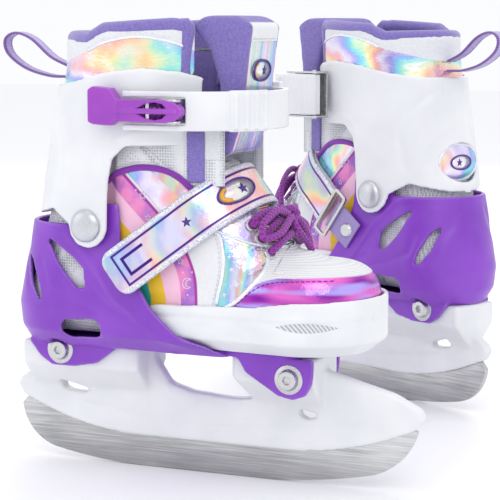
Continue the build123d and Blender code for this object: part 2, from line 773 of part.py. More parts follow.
# ================================================================ the pair
pieces = {
    "blade": blade,
    "blade_holder": blade_holder,
    "mount_sleeves": mount_sleeves,
    "mount_screws": mount_screws,
    "chassis": chassis,
    "toe_shell": toe_shell,
    "size_button": size_button,
    "size_spring": size_spring,
    "footbed": footbed,
    "boot_quarter": boot_quarter,
    "boot_vamp": boot_vamp,
    "tongue": tongue,
    "laces": laces,
    "eyelets": eyelets,
    "instep_strap": instep_strap,
    "strap_ring": strap_ring,
    "ring_tab": ring_tab,
    "tab_rivet": tab_rivet,
    "cuff": cuff,
    "ankle_rivets": ankle_rivets,
    "collar": collar,
    "pull_loop": pull_loop,
    "buckle_base": buckle_base,
    "cuff_rivets": cuff_rivets,
    "buckle_lever": buckle_lever,
    "buckle_pins": buckle_pins,
    "strap_pin": strap_pin,
    "buckle_strap": buckle_strap,
    "ratchet_frame": ratchet_frame,
    "ratchet_lever": ratchet_lever,
}
turned = Location((pair_offset[0], pair_offset[1], 0), (0, 0, pair_turn))
boxes = []
for builder in pieces.values():
    boxes.append(builder.part.bounding_box())
    boxes.append((turned * builder.part).bounding_box())
middle_x = (min(box.min.X for box in boxes) + max(box.max.X for box in boxes)) / 2
middle_y = (min(box.min.Y for box in boxes) + max(box.max.Y for box in boxes)) / 2
centred = Location((-middle_x, -middle_y, 0))
print("row origin in the right skate's frame:", round(middle_x, 3), round(middle_y, 3))

for side, placement in (("right", centred), ("left", centred * turned)):
    for piece_name, builder in pieces.items():
        placed = placement * builder.part
        placed.label = f"{side}_{piece_name}"
        export_step(placed, f"parts/{side}_{piece_name}.step")
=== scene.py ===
"""A pair of child's adjustable ice skates, finished on the frame of the working model.

Each piece is shaped once in the skate's own frame (millimetres: x to the toe, y to the inner side, z up from
the ice, x = 0 at the middle of the runner) and then placed on both skates of the pair.
"""
import math

import bmesh
import bpy
import numpy as np
from mathutils import Matrix, Vector
from mathutils.bvhtree import BVHTree


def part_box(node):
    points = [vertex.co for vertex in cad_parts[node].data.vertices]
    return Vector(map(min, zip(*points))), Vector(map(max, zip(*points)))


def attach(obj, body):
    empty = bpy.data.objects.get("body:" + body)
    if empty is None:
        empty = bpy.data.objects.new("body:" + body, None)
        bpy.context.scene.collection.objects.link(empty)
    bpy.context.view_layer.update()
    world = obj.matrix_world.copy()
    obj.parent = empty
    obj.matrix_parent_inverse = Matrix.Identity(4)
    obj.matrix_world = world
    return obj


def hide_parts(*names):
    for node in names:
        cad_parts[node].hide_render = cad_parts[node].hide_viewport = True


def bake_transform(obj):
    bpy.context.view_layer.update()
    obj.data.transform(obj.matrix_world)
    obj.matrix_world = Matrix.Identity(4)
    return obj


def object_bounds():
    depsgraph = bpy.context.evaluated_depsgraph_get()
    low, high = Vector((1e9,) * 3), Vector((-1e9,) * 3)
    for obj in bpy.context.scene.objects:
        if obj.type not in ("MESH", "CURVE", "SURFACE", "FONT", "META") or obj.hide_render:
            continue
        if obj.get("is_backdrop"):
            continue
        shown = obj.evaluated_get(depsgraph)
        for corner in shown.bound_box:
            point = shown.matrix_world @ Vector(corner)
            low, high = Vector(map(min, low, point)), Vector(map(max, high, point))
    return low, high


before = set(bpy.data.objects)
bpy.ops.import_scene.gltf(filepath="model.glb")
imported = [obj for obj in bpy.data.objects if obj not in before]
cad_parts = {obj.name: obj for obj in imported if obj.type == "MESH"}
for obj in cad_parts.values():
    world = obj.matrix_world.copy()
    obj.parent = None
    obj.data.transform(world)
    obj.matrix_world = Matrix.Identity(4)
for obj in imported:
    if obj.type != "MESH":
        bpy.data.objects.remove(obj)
cad_low, cad_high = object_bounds()
scene = bpy.context.scene
MM = 0.001
SIDES = ("right", "left")


# ------------------------------------------------------------------ where each skate stands
# Each skate stands on its own runner: the runner's line gives its heading, the toe shell says which end
# is the front, and the middle of the holder is the skate's own origin.
def skate_place(side):
    holder = np.array([v.co[:2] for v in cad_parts[f"{side}_blade_holder"].data.vertices])
    middle = holder.mean(axis=0)
    heading = np.linalg.svd(holder - middle, full_matrices=False)[2][0]
    toe_low, toe_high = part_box(f"{side}_toe_shell")
    toe = np.array([(toe_low.x + toe_high.x) / 2, (toe_low.y + toe_high.y) / 2])
    if np.dot(toe - middle, heading) < 0:
        heading = -heading
    along = (holder - middle) @ heading
    across = (holder - middle) @ np.array([-heading[1], heading[0]])
    origin = middle + heading * (along.min() + along.max()) / 2
    origin += np.array([-heading[1], heading[0]]) * (across.min() + across.max()) / 2
    turn = Matrix.Rotation(math.atan2(heading[1], heading[0]), 4, "Z")
    return Matrix.Translation((origin[0], origin[1], 0)) @ turn


PLACE = {side: skate_place(side) for side in SIDES}


# ------------------------------------------------------------------ camera, lights and floor
# A long lens a metre in front of the right skate, a little above its collar, looking slightly down.
CAMERA_PLACE = Vector((407.7, -913.4, 263.2)) * MM
CAMERA_TURN = math.radians(22.81)
CAMERA_PITCH = math.radians(7.38)
CAMERA_LENS = 123.7

camera_data = bpy.data.cameras.new("camera")
camera_data.lens = CAMERA_LENS
camera_data.sensor_width = 36
camera_data.clip_end = 20
camera = bpy.data.objects.new("camera", camera_data)
scene.collection.objects.link(camera)
camera.location = PLACE["right"] @ CAMERA_PLACE
looking = Vector((-math.sin(CAMERA_TURN) * math.cos(CAMERA_PITCH),
                  math.cos(CAMERA_TURN) * math.cos(CAMERA_PITCH), -math.sin(CAMERA_PITCH)))
camera.rotation_euler = looking.to_track_quat("-Z", "Y").to_euler()
scene.camera = camera


def soft_light(name, place, size, power, tint=(1, 1, 1)):
    """Square studio light that faces the middle of the pair."""
    data = bpy.data.lights.new(name, "AREA")
    data.shape = "SQUARE"
    data.size = size
    data.energy = power
    data.color = tint
    light = bpy.data.objects.new(name, data)
    scene.collection.objects.link(light)
    light.location = place
    aim = Vector((0, 0, 0.13)) - Vector(place)
    light.rotation_euler = aim.to_track_quat("-Z", "Y").to_euler()


soft_light("key_light", (0.9, -1.5, 1.5), 1.2, 8)
soft_light("fill_light", (-1.5, -1.1, 0.9), 1.4, 3.5, (0.96, 0.98, 1))
soft_light("top_light", (0, 0.3, 1.9), 1.6, 5)
soft_light("back_light", (-0.5, 1.7, 1.0), 1.2, 5)

world = bpy.data.worlds.new("studio")
world.use_nodes = True
world.node_tree.nodes["Background"].inputs["Color"].default_value = (0.97, 0.98, 1.0, 1)
world.node_tree.nodes["Background"].inputs["Strength"].default_value = 1.0
scene.world = world
scene.view_settings.view_transform = "Standard"

floor_mesh = bpy.data.meshes.new("studio_floor")
FLOOR_HALF = 6
floor_mesh.from_pydata([(-FLOOR_HALF, -FLOOR_HALF, -0.0002), (FLOOR_HALF, -FLOOR_HALF, -0.0002),
                        (FLOOR_HALF, FLOOR_HALF, -0.0002), (-FLOOR_HALF, FLOOR_HALF, -0.0002)], [], [(0, 1, 2, 3)])
studio_floor = bpy.data.objects.new("studio_floor", floor_mesh)
scene.collection.objects.link(studio_floor)
studio_floor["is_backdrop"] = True
floor_paint = bpy.data.materials.new("studio_floor_paint")
floor_paint.use_nodes = True
floor_shader = floor_paint.node_tree.nodes["Principled BSDF"]
floor_shader.inputs["Base Color"].default_value = (0.95, 0.95, 0.96, 1)
floor_shader.inputs["Roughness"].default_value = 0.6
floor_mesh.materials.append(floor_paint)


# ------------------------------------------------------------------ runner
# The runner is a stainless strip, ground flat under the foot and set in the holder's slot. Its finish is
# satin, with the grinding marks lengthwise.
def add_node(tree, kind, inputs=None, **settings):
    """New shader node. Inputs are sockets to link from, or plain values."""
    made = tree.nodes.new(kind)
    for key, value in settings.items():
        setattr(made, key, value)
    for key, value in (inputs or {}).items():
        if isinstance(value, bpy.types.NodeSocket):
            tree.links.new(value, made.inputs[key])
        else:
            made.inputs[key].default_value = value
    return made


def new_material(name, **constants):
    """Material with its shader and the skate's own coordinates in millimetres."""
    paint = bpy.data.materials.new(name)
    paint.use_nodes = True
    tree = paint.node_tree
    shader = tree.nodes["Principled BSDF"]
    for key, value in constants.items():
        shader.inputs[key.replace("_", " ")].default_value = value
    spot = add_node(tree, "ShaderNodeAttribute", attribute_name="skate_mm").outputs["Vector"]
    return paint, tree, shader, spot


def maths(tree, operation, *values):
    made = tree.nodes.new("ShaderNodeMath")
    made.operation = operation
    for index, value in enumerate(values):
        if isinstance(value, bpy.types.NodeSocket):
            tree.links.new(value, made.inputs[index])
        else:
            made.inputs[index].default_value = value
    return made.outputs[0]


def mix_colour(tree, share, first, second):
    made = tree.nodes.new("ShaderNodeMix")
    made.data_type = "RGBA"
    for index, value in ((0, share), (6, first), (7, second)):
        if isinstance(value, bpy.types.NodeSocket):
            tree.links.new(value, made.inputs[index])
        else:
            made.inputs[index].default_value = value if index == 0 else (*value, 1)
    return made.outputs[2]


def spread(tree, value, low, high, out_low=0.0, out_high=1.0):
    """The value's range from low to high, stretched to the new range and held there."""
    return add_node(tree, "ShaderNodeMapRange", {"Value": value, "From Min": low, "From Max": high,
                                                 "To Min": out_low, "To Max": out_high}).outputs[0]


def bump(tree, shader, height, depth, strength=1.0):
    """Relief of the given depth in millimetres."""
    made = add_node(tree, "ShaderNodeBump", {"Height": height, "Strength": strength, "Distance": depth * MM})
    tree.links.new(made.outputs["Normal"], shader.inputs["Normal"])


def noise_at(tree, spot, scale, detail=3, rough=0.5, stretch=(1, 1, 1)):
    """Noise value, with the scale in cells per millimetre."""
    if stretch != (1, 1, 1):
        spot = add_node(tree, "ShaderNodeVectorMath", {0: spot, 1: stretch}, operation="MULTIPLY").outputs[0]
    made = add_node(tree, "ShaderNodeTexNoise", {"Vector": spot, "Scale": scale, "Detail": detail,
                                                 "Roughness": rough})
    return made.outputs["Fac"]


def local_copy(*nodes):
    """The right skate's CAD nodes as one mesh, in the skate's own frame and in millimetres."""
    joined = bmesh.new()
    for node in nodes:
        joined.from_mesh(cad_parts[f"right_{node}"].data)
    mesh = bpy.data.meshes.new(nodes[0])
    joined.to_mesh(mesh)
    joined.free()
    mesh.transform(Matrix.Scale(1 / MM, 4) @ PLACE["right"].inverted())
    return mesh


def shaped(mesh, *steps):
    """The mesh after a list of modifiers, each a kind and its settings."""
    work = bpy.data.objects.new("work", mesh)
    scene.collection.objects.link(work)
    for kind, settings in steps:
        modifier = work.modifiers.new(kind, kind)
        for key, value in settings.items():
            setattr(modifier, key, value)
    graph = bpy.context.evaluated_depsgraph_get()
    result = bpy.data.meshes.new_from_object(work.evaluated_get(graph))
    bpy.data.objects.remove(work)
    return result


def finish_mesh(mesh, paint):
    """Paints a mesh, remembers its place in the skate in millimetres, and scales it to metres."""
    mesh.materials.clear()
    mesh.materials.append(paint)
    mesh.shade_smooth()
    places = np.zeros(len(mesh.vertices) * 3, np.float32)
    mesh.vertices.foreach_get("co", places)
    kept = mesh.attributes.new("skate_mm", "FLOAT_VECTOR", "POINT")
    kept.data.foreach_set("vector", places)
    mesh.transform(Matrix.Scale(MM, 4))
    return mesh


STRETCHED = "stretched"


def place_piece(name, mesh, paint, body, replaced=()):
    """Puts a finished mesh on both skates. It rides its body, or, when stretched, is baked where it stands and
    rides no body.
    """
    finish_mesh(mesh, paint)
    placed = []
    for side in SIDES:
        piece = bpy.data.objects.new(f"{side}_{name}_finish", mesh.copy())
        scene.collection.objects.link(piece)
        piece.matrix_world = PLACE[side]
        if body == STRETCHED:
            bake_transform(piece)
        else:
            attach(piece, f"{side}_{body}")
        if replaced:
            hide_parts(*[f"{side}_{node}" for node in replaced])
        placed.append(piece)
    return placed


steel_paint, tree, shader, spot = new_material("runner_steel", Metallic=1.0)
grain = noise_at(tree, spot, 1.0, 5, 0.65, (0.03, 1, 1.3))
cloud = noise_at(tree, spot, 0.015, 2)
tone = spread(tree, maths(tree, "ADD", maths(tree, "MULTIPLY", grain, 0.6), maths(tree, "MULTIPLY", cloud, 0.4)),
              0.35, 0.65)
# Painted shade: the runner's colour is darkened towards the ice, to 55% at the bottom and full tone from 24 mm up.
height = add_node(tree, "ShaderNodeSeparateXYZ", {0: spot}).outputs["Z"]
lit = spread(tree, height, 0, 24, 0.55, 1.0)
tone = maths(tree, "MULTIPLY", tone, lit)
tree.links.new(mix_colour(tree, tone, (0.3, 0.3, 0.305), (0.74, 0.74, 0.745)), shader.inputs["Base Color"])
tree.links.new(maths(tree, "MULTIPLY_ADD", grain, 0.25, 0.22), shader.inputs["Roughness"])
bump(tree, shader, grain, 0.25, 0.5)
blade_mesh = shaped(local_copy("blade"), ("WELD", {"merge_threshold": 0.02}),
                    ("BEVEL", {"width": 0.35, "segments": 2, "limit_method": "ANGLE"}))
place_piece("blade", blade_mesh, steel_paint, "base", ["blade"])


# ------------------------------------------------------------------ holder
# White satin nylon, moulded in one piece: a rail round the runner and two towers that widen to the chassis.
def moulded_grain():
    """Node group: the fine grain of a moulded part, and broad clouds of tone."""
    group = bpy.data.node_groups.new("moulded_grain", "ShaderNodeTree")
    group.interface.new_socket("Place", in_out="INPUT", socket_type="NodeSocketVector")
    group.interface.new_socket("Grain Size", in_out="INPUT", socket_type="NodeSocketFloat")
    group.interface.new_socket("Height", in_out="OUTPUT", socket_type="NodeSocketFloat")
    group.interface.new_socket("Cloud", in_out="OUTPUT", socket_type="NodeSocketFloat")
    start = group.nodes.new("NodeGroupInput")
    end = group.nodes.new("NodeGroupOutput")
    fine = add_node(group, "ShaderNodeTexNoise", {"Vector": start.outputs["Place"],
                                                  "Scale": start.outputs["Grain Size"], "Detail": 2})
    broad = add_node(group, "ShaderNodeTexNoise", {"Vector": start.outputs["Place"], "Scale": 0.03, "Detail": 3})
    group.links.new(fine.outputs["Fac"], end.inputs["Height"])
    group.links.new(spread(group, broad.outputs["Fac"], 0.35, 0.65), end.inputs["Cloud"])
    return group


GRAIN = moulded_grain()


def plastic(name, dark, light, roughness, grain_size=2.2, depth=0.05, **constants):
    """Moulded plastic: faint clouds of tone, fine grain, and a painted highlight that lightens its sharp edges."""
    paint, tree, shader, spot = new_material(name, **constants)
    marks = add_node(tree, "ShaderNodeGroup", node_tree=GRAIN)
    tree.links.new(spot, marks.inputs["Place"])
    marks.inputs["Grain Size"].default_value = grain_size
    colour = mix_colour(tree, marks.outputs["Cloud"], dark, light)
    # Painted highlight: sharp convex edges, found by their pointiness, are painted lighter.
    edge = add_node(tree, "ShaderNodeNewGeometry").outputs["Pointiness"]
    edge_highlight = spread(tree, edge, 0.52, 0.6, 0, 0.35)
    bright = [min(1, 0.5 * part + 0.5) for part in light]
    tree.links.new(mix_colour(tree, edge_highlight, colour, bright), shader.inputs["Base Color"])
    rough = maths(tree, "MULTIPLY_ADD", marks.outputs["Height"], 0.12, roughness - 0.06)
    tree.links.new(rough, shader.inputs["Roughness"])
    bump(tree, shader, marks.outputs["Height"], depth, 0.35)
    return paint


def moulded(mesh, voxel, rounds):
    """Melts the joints of a mesh into the soft radii of a moulded part."""
    return shaped(mesh, ("REMESH", {"mode": "VOXEL", "voxel_size": voxel}),
                  ("SMOOTH", {"factor": 0.5, "iterations": rounds}))


def mesh_of(skin, name):
    """Closed mesh of a skin, with its faces turned outward."""
    bmesh.ops.recalc_face_normals(skin, faces=skin.faces)
    mesh = bpy.data.meshes.new(name)
    skin.to_mesh(mesh)
    skin.free()
    return mesh


def skin_between(skin, first, second):
    """Faces round a closed skin, between two rows of its points."""
    for index in range(len(first)):
        after = (index + 1) % len(first)
        skin.faces.new((first[index], first[after], second[after], second[index]))


def side_prism(outline, near, far):
    """Block with the given side view (x, z), from one y to the other."""
    block = bmesh.new()
    first = [block.verts.new((x, near, z)) for x, z in outline]
    second = [block.verts.new((x, far, z)) for x, z in outline]
    block.faces.new(first)
    block.faces.new(second[::-1])
    for index in range(len(outline)):
        after = (index + 1) % len(outline)
        block.faces.new((first[index], second[index], second[after], first[after]))
    return mesh_of(block, "block")


def joined(*meshes):
    """One mesh of several."""
    gathered = bmesh.new()
    for mesh in meshes:
        gathered.from_mesh(mesh)
    result = bpy.data.meshes.new("joined")
    gathered.to_mesh(result)
    gathered.free()
    return result


def cut_away(mesh, cutter):
    """The mesh without what lies in the cutter."""
    blade = bpy.data.objects.new("cutter", cutter)
    scene.collection.objects.link(blade)
    result = shaped(mesh, ("BOOLEAN", {"object": blade, "operation": "DIFFERENCE", "solver": "EXACT"}))
    bpy.data.objects.remove(blade)
    return result


def press_line(mesh, line, width, depth, fade=True):
    """Presses a soft groove, or with a negative depth raises a rib, along a side-view line of (x, z) points."""
    count = len(mesh.vertices)
    places = np.zeros(count * 3)
    mesh.vertices.foreach_get("co", places)
    places = places.reshape(-1, 3)
    normals = np.zeros(count * 3)
    mesh.vertices.foreach_get("normal", normals)
    normals = normals.reshape(-1, 3)
    nearest = np.full(count, 1e9)
    along = np.zeros(count)
    total = sum(math.dist(a, b) for a, b in zip(line, line[1:]))
    run = 0.0
    for first, second in zip(line, line[1:]):
        first, second = np.array(first, float), np.array(second, float)
        step = second - first
        share = np.clip(((places[:, [0, 2]] - first) @ step) / (step @ step), 0, 1)
        gap = np.linalg.norm(places[:, [0, 2]] - first - share[:, None] * step, axis=1)
        closer = gap < nearest
        nearest[closer] = gap[closer]
        along[closer] = (run + share[closer] * np.linalg.norm(step)) / total
        run += np.linalg.norm(step)
    amount = depth * np.exp(-(nearest / width) ** 2)
    if fade:
        amount *= np.clip(np.sin(np.pi * np.clip(along, 0, 1)) * 2.5, 0, 1)
    outward = (normals[:, 1] * places[:, 1] > 0) & (np.abs(normals[:, 1]) > 0.3)
    places[outward] -= normals[outward] * amount[outward, None]
    mesh.vertices.foreach_set("co", places.ravel())
    mesh.update()
    return mesh


white_nylon = plastic("holder_nylon", (0.72, 0.73, 0.755), (0.79, 0.795, 0.815), 0.36)
holder_mesh = moulded(local_copy("blade_holder"), 1.2, 16)
press_line(holder_mesh, [(-112, 47), (-90, 38), (-50, 31), (0, 29), (50, 31), (95, 38), (116, 46)], 2.2, 0.7)
press_line(holder_mesh, [(-44, 70), (-37, 56), (-24, 46), (0, 41), (28, 41), (38, 50)], 2.5, -0.6)
press_line(holder_mesh, [(-104, 54), (-96, 41), (-66, 37)], 2.0, -0.5)
place_piece("blade_holder", holder_mesh, white_nylon, "base", ["blade_holder"])

# ------------------------------------------------------------------ chassis
# Purple moulded shell that carries the boot, the cuff and the holder's bolts. Sides are ribbed with soft
# swept creases round the vents, and the heel is stepped.
def surface_of(mesh):
    """Search tree of a mesh, for laying trims on it."""
    mesh = shaped(mesh, ("TRIANGULATE", {}))
    return BVHTree.FromPolygons([v.co for v in mesh.vertices], [f.vertices for f in mesh.polygons])


def on_side(surface, x, z, end, lift=0.0):
    """Point on the outside of a surface at a side-view place, on the outer (-1) or inner (1) side."""
    hit, normal, _, _ = surface.ray_cast(Vector((x, end * 200, z)), Vector((0, -end, 0)))
    if hit is None:
        hit, normal, _, _ = surface.find_nearest(Vector((x, end * 40, z)))
    if normal.y * end < 0:
        normal = -normal
    return hit + normal * lift


def smooth_path(points, step):
    """Even points, about a step apart, on a smooth curve through the given ones."""
    knots = np.array([tuple(point) for point in points], float)
    padded = np.vstack([2 * knots[0] - knots[1], knots, 2 * knots[-1] - knots[-2]])
    found = []
    for index in range(1, len(padded) - 2):
        before, start, end, after = padded[index - 1:index + 3]
        steps = max(2, int(np.linalg.norm(end - start) / step) + 1)
        for share in np.linspace(0, 1, steps, endpoint=False):
            found.append(0.5 * (2 * start + (end - before) * share
                                + (2 * before - 5 * start + 4 * end - after) * share ** 2
                                + (3 * start - before - 3 * end + after) * share ** 3))
    found.append(knots[-1])
    return np.array(found)


def round_section(wide, thick, count=12):
    return [(wide * math.cos(2 * math.pi * step / count), thick * math.sin(2 * math.pi * step / count))
            for step in range(count)]


def flat_section(width, thickness, count=5):
    """Flat band section with round edges: (across, out) points."""
    radius = thickness / 2
    points = []
    for step in range(count + 1):
        points.append((-width / 2 + radius + (width - thickness) * step / count, -radius))
    for step in range(1, 4):
        turn = -math.pi / 2 + math.pi * step / 4
        points.append((width / 2 - radius + radius * math.cos(turn), radius * math.sin(turn)))
    for step in range(count + 1):
        points.append((width / 2 - radius - (width - thickness) * step / count, radius))
    for step in range(1, 4):
        turn = math.pi / 2 + math.pi * step / 4
        points.append((-width / 2 + radius + radius * math.cos(turn), radius * math.sin(turn)))
    return points


def swept(path, section, wide_way=None, closed=False, narrow=None):
    """Section swept along a path. The section's first number runs the wide way, the second out of the band."""
    path = np.array([tuple(point) for point in path], float)
    count = len(path)
    if closed:
        tangents = np.roll(path, -1, axis=0) - np.roll(path, 1, axis=0)
    else:
        tangents = np.gradient(path, axis=0)
    tangents /= np.linalg.norm(tangents, axis=1)[:, None]
    lengths = np.concatenate([[0], np.cumsum(np.linalg.norm(np.diff(path, axis=0), axis=1))])
    if wide_way is None:
        start = np.array([0.0, 0, 1]) if abs(tangents[0][2]) < 0.9 else np.array([1.0, 0, 0])
        way = start - tangents[0] * (start @ tangents[0])
        ways = []
        for tangent in tangents:
            way = way - tangent * (way @ tangent)
            way = way / np.linalg.norm(way)
            ways.append(way)
        ways = np.array(ways)
    else:
        ways = np.broadcast_to(np.array(wide_way, float), path.shape)
        ways = ways - tangents * np.sum(ways * tangents, axis=1)[:, None]
        ways = ways / np.linalg.norm(ways, axis=1)[:, None]
    outs = np.cross(tangents, ways)
    skin = bmesh.new()
    band = skin.verts.layers.float_vector.new("band_mm")
    rows = []
    for index in range(count):
        share = 1.0 if narrow is None else narrow[index]
        row = []
        for across, out in section:
            vert = skin.verts.new(path[index] + ways[index] * across * share + outs[index] * out)
            vert[band] = (lengths[index], across * share, out)
            row.append(vert)
        rows.append(row)
    pairs = list(zip(rows, rows[1:])) + ([(rows[-1], rows[0])] if closed else [])
    for first, second in pairs:
        skin_between(skin, first, second)
    if not closed:
        skin.faces.new(rows[0][::-1])
        skin.faces.new(rows[-1])
    return mesh_of(skin, "swept")


purple_plastic = plastic("chassis_purple", (0.20, 0.036, 0.47), (0.25, 0.055, 0.55), 0.34, 1.6)


def vent_patch(end):
    """Piece of the side wall that closes the straight slots, before the swept vents are cut."""
    line, lean = [], []
    for turn in np.radians(np.linspace(146, 86, 26)):
        line.append((-80.2 + 37 * math.cos(turn), end * 37 * math.sin(turn), 127))
        lean.append((0.14 - 0.06 * math.cos(turn), -0.06 * end * math.sin(turn), 1))
    for x in np.linspace(-74, -50, 10):
        line.append((x, end * (37 + 0.079 * (x + 80.2)), 127))
        lean.append((0, -0.05 * end, 1))
    return swept(line, flat_section(34, 2.9, 6), lean)


SWEPT_VENT = [(-94, 143), (-84, 137.5), (-72, 130), (-65.5, 124), (-64, 113), (-69, 112.5), (-75, 118),
              (-82, 126), (-88, 136)]
HEEL_VENT = [(-109, 131), (-103, 126), (-96, 112), (-94, 103), (-98, 105), (-104, 114)]
chassis_mesh = moulded(joined(local_copy("chassis"), vent_patch(-1), vent_patch(1)), 0.8, 2)
for end in (-1, 1):
    for vent in (SWEPT_VENT, HEEL_VENT):
        chassis_mesh = cut_away(chassis_mesh, side_prism(vent, end * 20, end * 60))
chassis_mesh = moulded(chassis_mesh, 0.95, 6)
press_line(chassis_mesh, [(-113, 148), (-112, 130), (-106, 112), (-94, 100)], 2.5, 1.0)
press_line(chassis_mesh, [(-100, 150), (-78, 146), (-58, 128), (-46, 108), (-20, 90), (10, 80)], 3.0, -1.0)
press_line(chassis_mesh, [(-60, 112), (-42, 100), (-18, 88)], 2.5, 0.9)
press_line(chassis_mesh, [(-58, 122), (-44, 104), (-30, 96)], 1.8, 0.8)
press_line(chassis_mesh, [(-97, 132), (-90, 112), (-72, 104), (-50, 98)], 2.2, 0.7)
press_line(chassis_mesh, [(-110, 62), (-90, 59), (-60, 63), (-40, 70), (-10, 75), (20, 66), (40, 56), (60, 51)],
           2.2, -0.7)
place_piece("chassis", chassis_mesh, purple_plastic, "base", ["chassis"])

# ------------------------------------------------------------------ mounting bolts
# Zinc-plated flange bolts and their sleeves hold the runner holder in the chassis.
metal_paint, tree, shader, spot = new_material("bolt_metal", Metallic=1.0)
scratches = noise_at(tree, spot, 1.2, 4, 0.7)
tree.links.new(mix_colour(tree, scratches, (0.42, 0.42, 0.43), (0.78, 0.78, 0.79)), shader.inputs["Base Color"])
tree.links.new(maths(tree, "MULTIPLY_ADD", scratches, 0.3, 0.12), shader.inputs["Roughness"])
bump(tree, shader, scratches, 0.06, 0.5)
METAL_EDGE = ("BEVEL", {"width": 0.4, "segments": 3, "limit_method": "ANGLE"})
WELD = ("WELD", {"merge_threshold": 0.02})


def metal_piece(node, body, *steps):
    """Small plated part, welded clean and, where it is given an edge, rounded there."""
    place_piece(node, shaped(local_copy(node), WELD, *steps), metal_paint, body, [node])


metal_piece("mount_screws", "base", METAL_EDGE)
metal_piece("mount_sleeves", "base")


def turned(profile, middle, facing, count=48):
    """Turned part: profile of (radius, height) points about the y axis, at a middle point."""
    rings = bmesh.new()
    rows = []
    for radius, height in profile:
        if radius == 0:
            rows.append([rings.verts.new((middle[0], middle[1] + facing * height, middle[2]))])
            continue
        rows.append([rings.verts.new((middle[0] + radius * math.cos(2 * math.pi * step / count),
                                      middle[1] + facing * height,
                                      middle[2] + radius * math.sin(2 * math.pi * step / count)))
                     for step in range(count)])
    for inner, outer in zip(rows, rows[1:]):
        for step in range(count):
            after = (step + 1) % count
            corners = [inner[step % len(inner)], inner[after % len(inner)], outer[after % len(outer)],
                       outer[step % len(outer)]]
            unique = list(dict.fromkeys(corners))
            if len(unique) > 2:
                rings.faces.new(unique)
    return mesh_of(rings, "turned")


# The washers under the bolt heads sit in round recesses of the legs.
washers = [turned([(0, 0.2), (8.3, 0.2), (8.6, 0.0), (8.6, -0.5)], (x, end * 23.6, z), end)
           for x, z in ((-90, 72), (57, 65)) for end in (-1, 1)]
place_piece("bolt_washers", joined(*washers), metal_paint, "base", ())

# ------------------------------------------------------------------ toe shell
# White moulded toe cap that slides on the chassis to change the size: soft long creases, a leaf of fine ribs on
# each side, and short dashes under the rim.
leaf_paint, tree, shader, spot = new_material("toe_shell_white", Roughness=0.3)
axes = add_node(tree, "ShaderNodeSeparateXYZ", {0: spot})
x_mm, z_mm = axes.outputs["X"], axes.outputs["Z"]
leaf_across = maths(tree, "DIVIDE", maths(tree, "SUBTRACT", z_mm, 98.6), 2.6)
leaf_along = maths(tree, "DIVIDE", maths(tree, "SUBTRACT", x_mm, 74), 17)
leaf_reach = maths(tree, "ADD", maths(tree, "ABSOLUTE", leaf_across), maths(tree, "POWER", leaf_along, 2.0))
leaf = spread(tree, leaf_reach, 1.05, 0.95)
rib_wave = add_node(tree, "ShaderNodeTexWave", {"Vector": spot, "Scale": 0.2}, bands_direction="DIAGONAL")
ribs = rib_wave.outputs["Fac"]
marks = add_node(tree, "ShaderNodeGroup", node_tree=GRAIN)
tree.links.new(spot, marks.inputs["Place"])
marks.inputs["Grain Size"].default_value = 2.2
shell_white = mix_colour(tree, marks.outputs["Cloud"], (0.71, 0.725, 0.75), (0.79, 0.8, 0.82))
# Painted shade: the grooves between the leaf's ribs are painted dark grey, the crests white.
ribbed = mix_colour(tree, ribs, (0.36, 0.37, 0.4), (0.75, 0.76, 0.78))
tree.links.new(mix_colour(tree, leaf, shell_white, ribbed), shader.inputs["Base Color"])
relief = maths(tree, "ADD", maths(tree, "MULTIPLY", marks.outputs["Height"], 0.06),
               maths(tree, "MULTIPLY", leaf, maths(tree, "MULTIPLY_ADD", ribs, 0.5, -0.7)))
bump(tree, shader, relief, 0.8, 0.6)
toe_mesh = moulded(local_copy("toe_shell"), 1.0, 12)
press_line(toe_mesh, [(-20, 99), (10, 100), (50, 100), (90, 101), (112, 103)], 1.6, 0.7, False)
press_line(toe_mesh, [(0, 95), (30, 97), (52, 95)], 2.5, 0.7)
press_line(toe_mesh, [(10, 88), (45, 91), (80, 90)], 3.5, 0.7)
press_line(toe_mesh, [(56, 102.2), (74, 103.4), (92, 102)], 1.2, -0.4)
place_piece("toe_shell", toe_mesh, leaf_paint, "toe", ["toe_shell"])


def line_on(surface, line, end, wide, thick, lift, step=2.0):
    """Cord laid on the side of a surface along a side-view line of (x, z) points."""
    dense = smooth_path([(x, 0, z) for x, z in line], step)
    return swept([on_side(surface, x, z, end, lift) for x, _, z in dense], round_section(wide, thick, 8))


def dashes_on(surface, line, end, dash, gap, radius, lift):
    """Row of stitches along a side-view line."""
    dense = smooth_path([(x, 0, z) for x, z in line], 0.5)
    lengths = np.concatenate([[0], np.cumsum(np.linalg.norm(np.diff(dense, axis=0), axis=1))])
    made = []
    start = 0.0
    while start + dash < lengths[-1]:
        spots = [start + dash * share for share in (0, 0.25, 0.75, 1)]
        places = [(np.interp(spot, lengths, dense[:, 0]), np.interp(spot, lengths, dense[:, 2])) for spot in spots]
        lifts = (lift - radius, lift, lift, lift - radius)
        path = [on_side(surface, x, z, end, height) for (x, z), height in zip(places, lifts)]
        made.append(swept(path, round_section(radius, radius, 6)))
        start += dash + gap
    return joined(*made)


toe_surface = surface_of(toe_mesh)
# Rim stitches of the toe shell: short moulded dashes in a row under the rim.
RIM_LINE = [(-10, 102.6), (30, 104.2), (60, 106.4), (88, 107.6), (98, 108.4)]
rim_dashes = [dashes_on(toe_surface, RIM_LINE, end, 2.2, 8, 0.5, 0.1) for end in (-1, 1)]
dash_plastic = plastic("rim_dashes_grey", (0.45, 0.46, 0.5), (0.52, 0.53, 0.56), 0.4)
place_piece("rim_dashes", joined(*rim_dashes), dash_plastic, "toe", ())

# ------------------------------------------------------------------ size button
# Spring-loaded push button on the inner side of the toe shell that frees the size slide.
place_piece("size_button", moulded(local_copy("size_button"), 0.4, 3), purple_plastic, "size_button_body",
            ["size_button"])
metal_piece("size_spring", "toe")


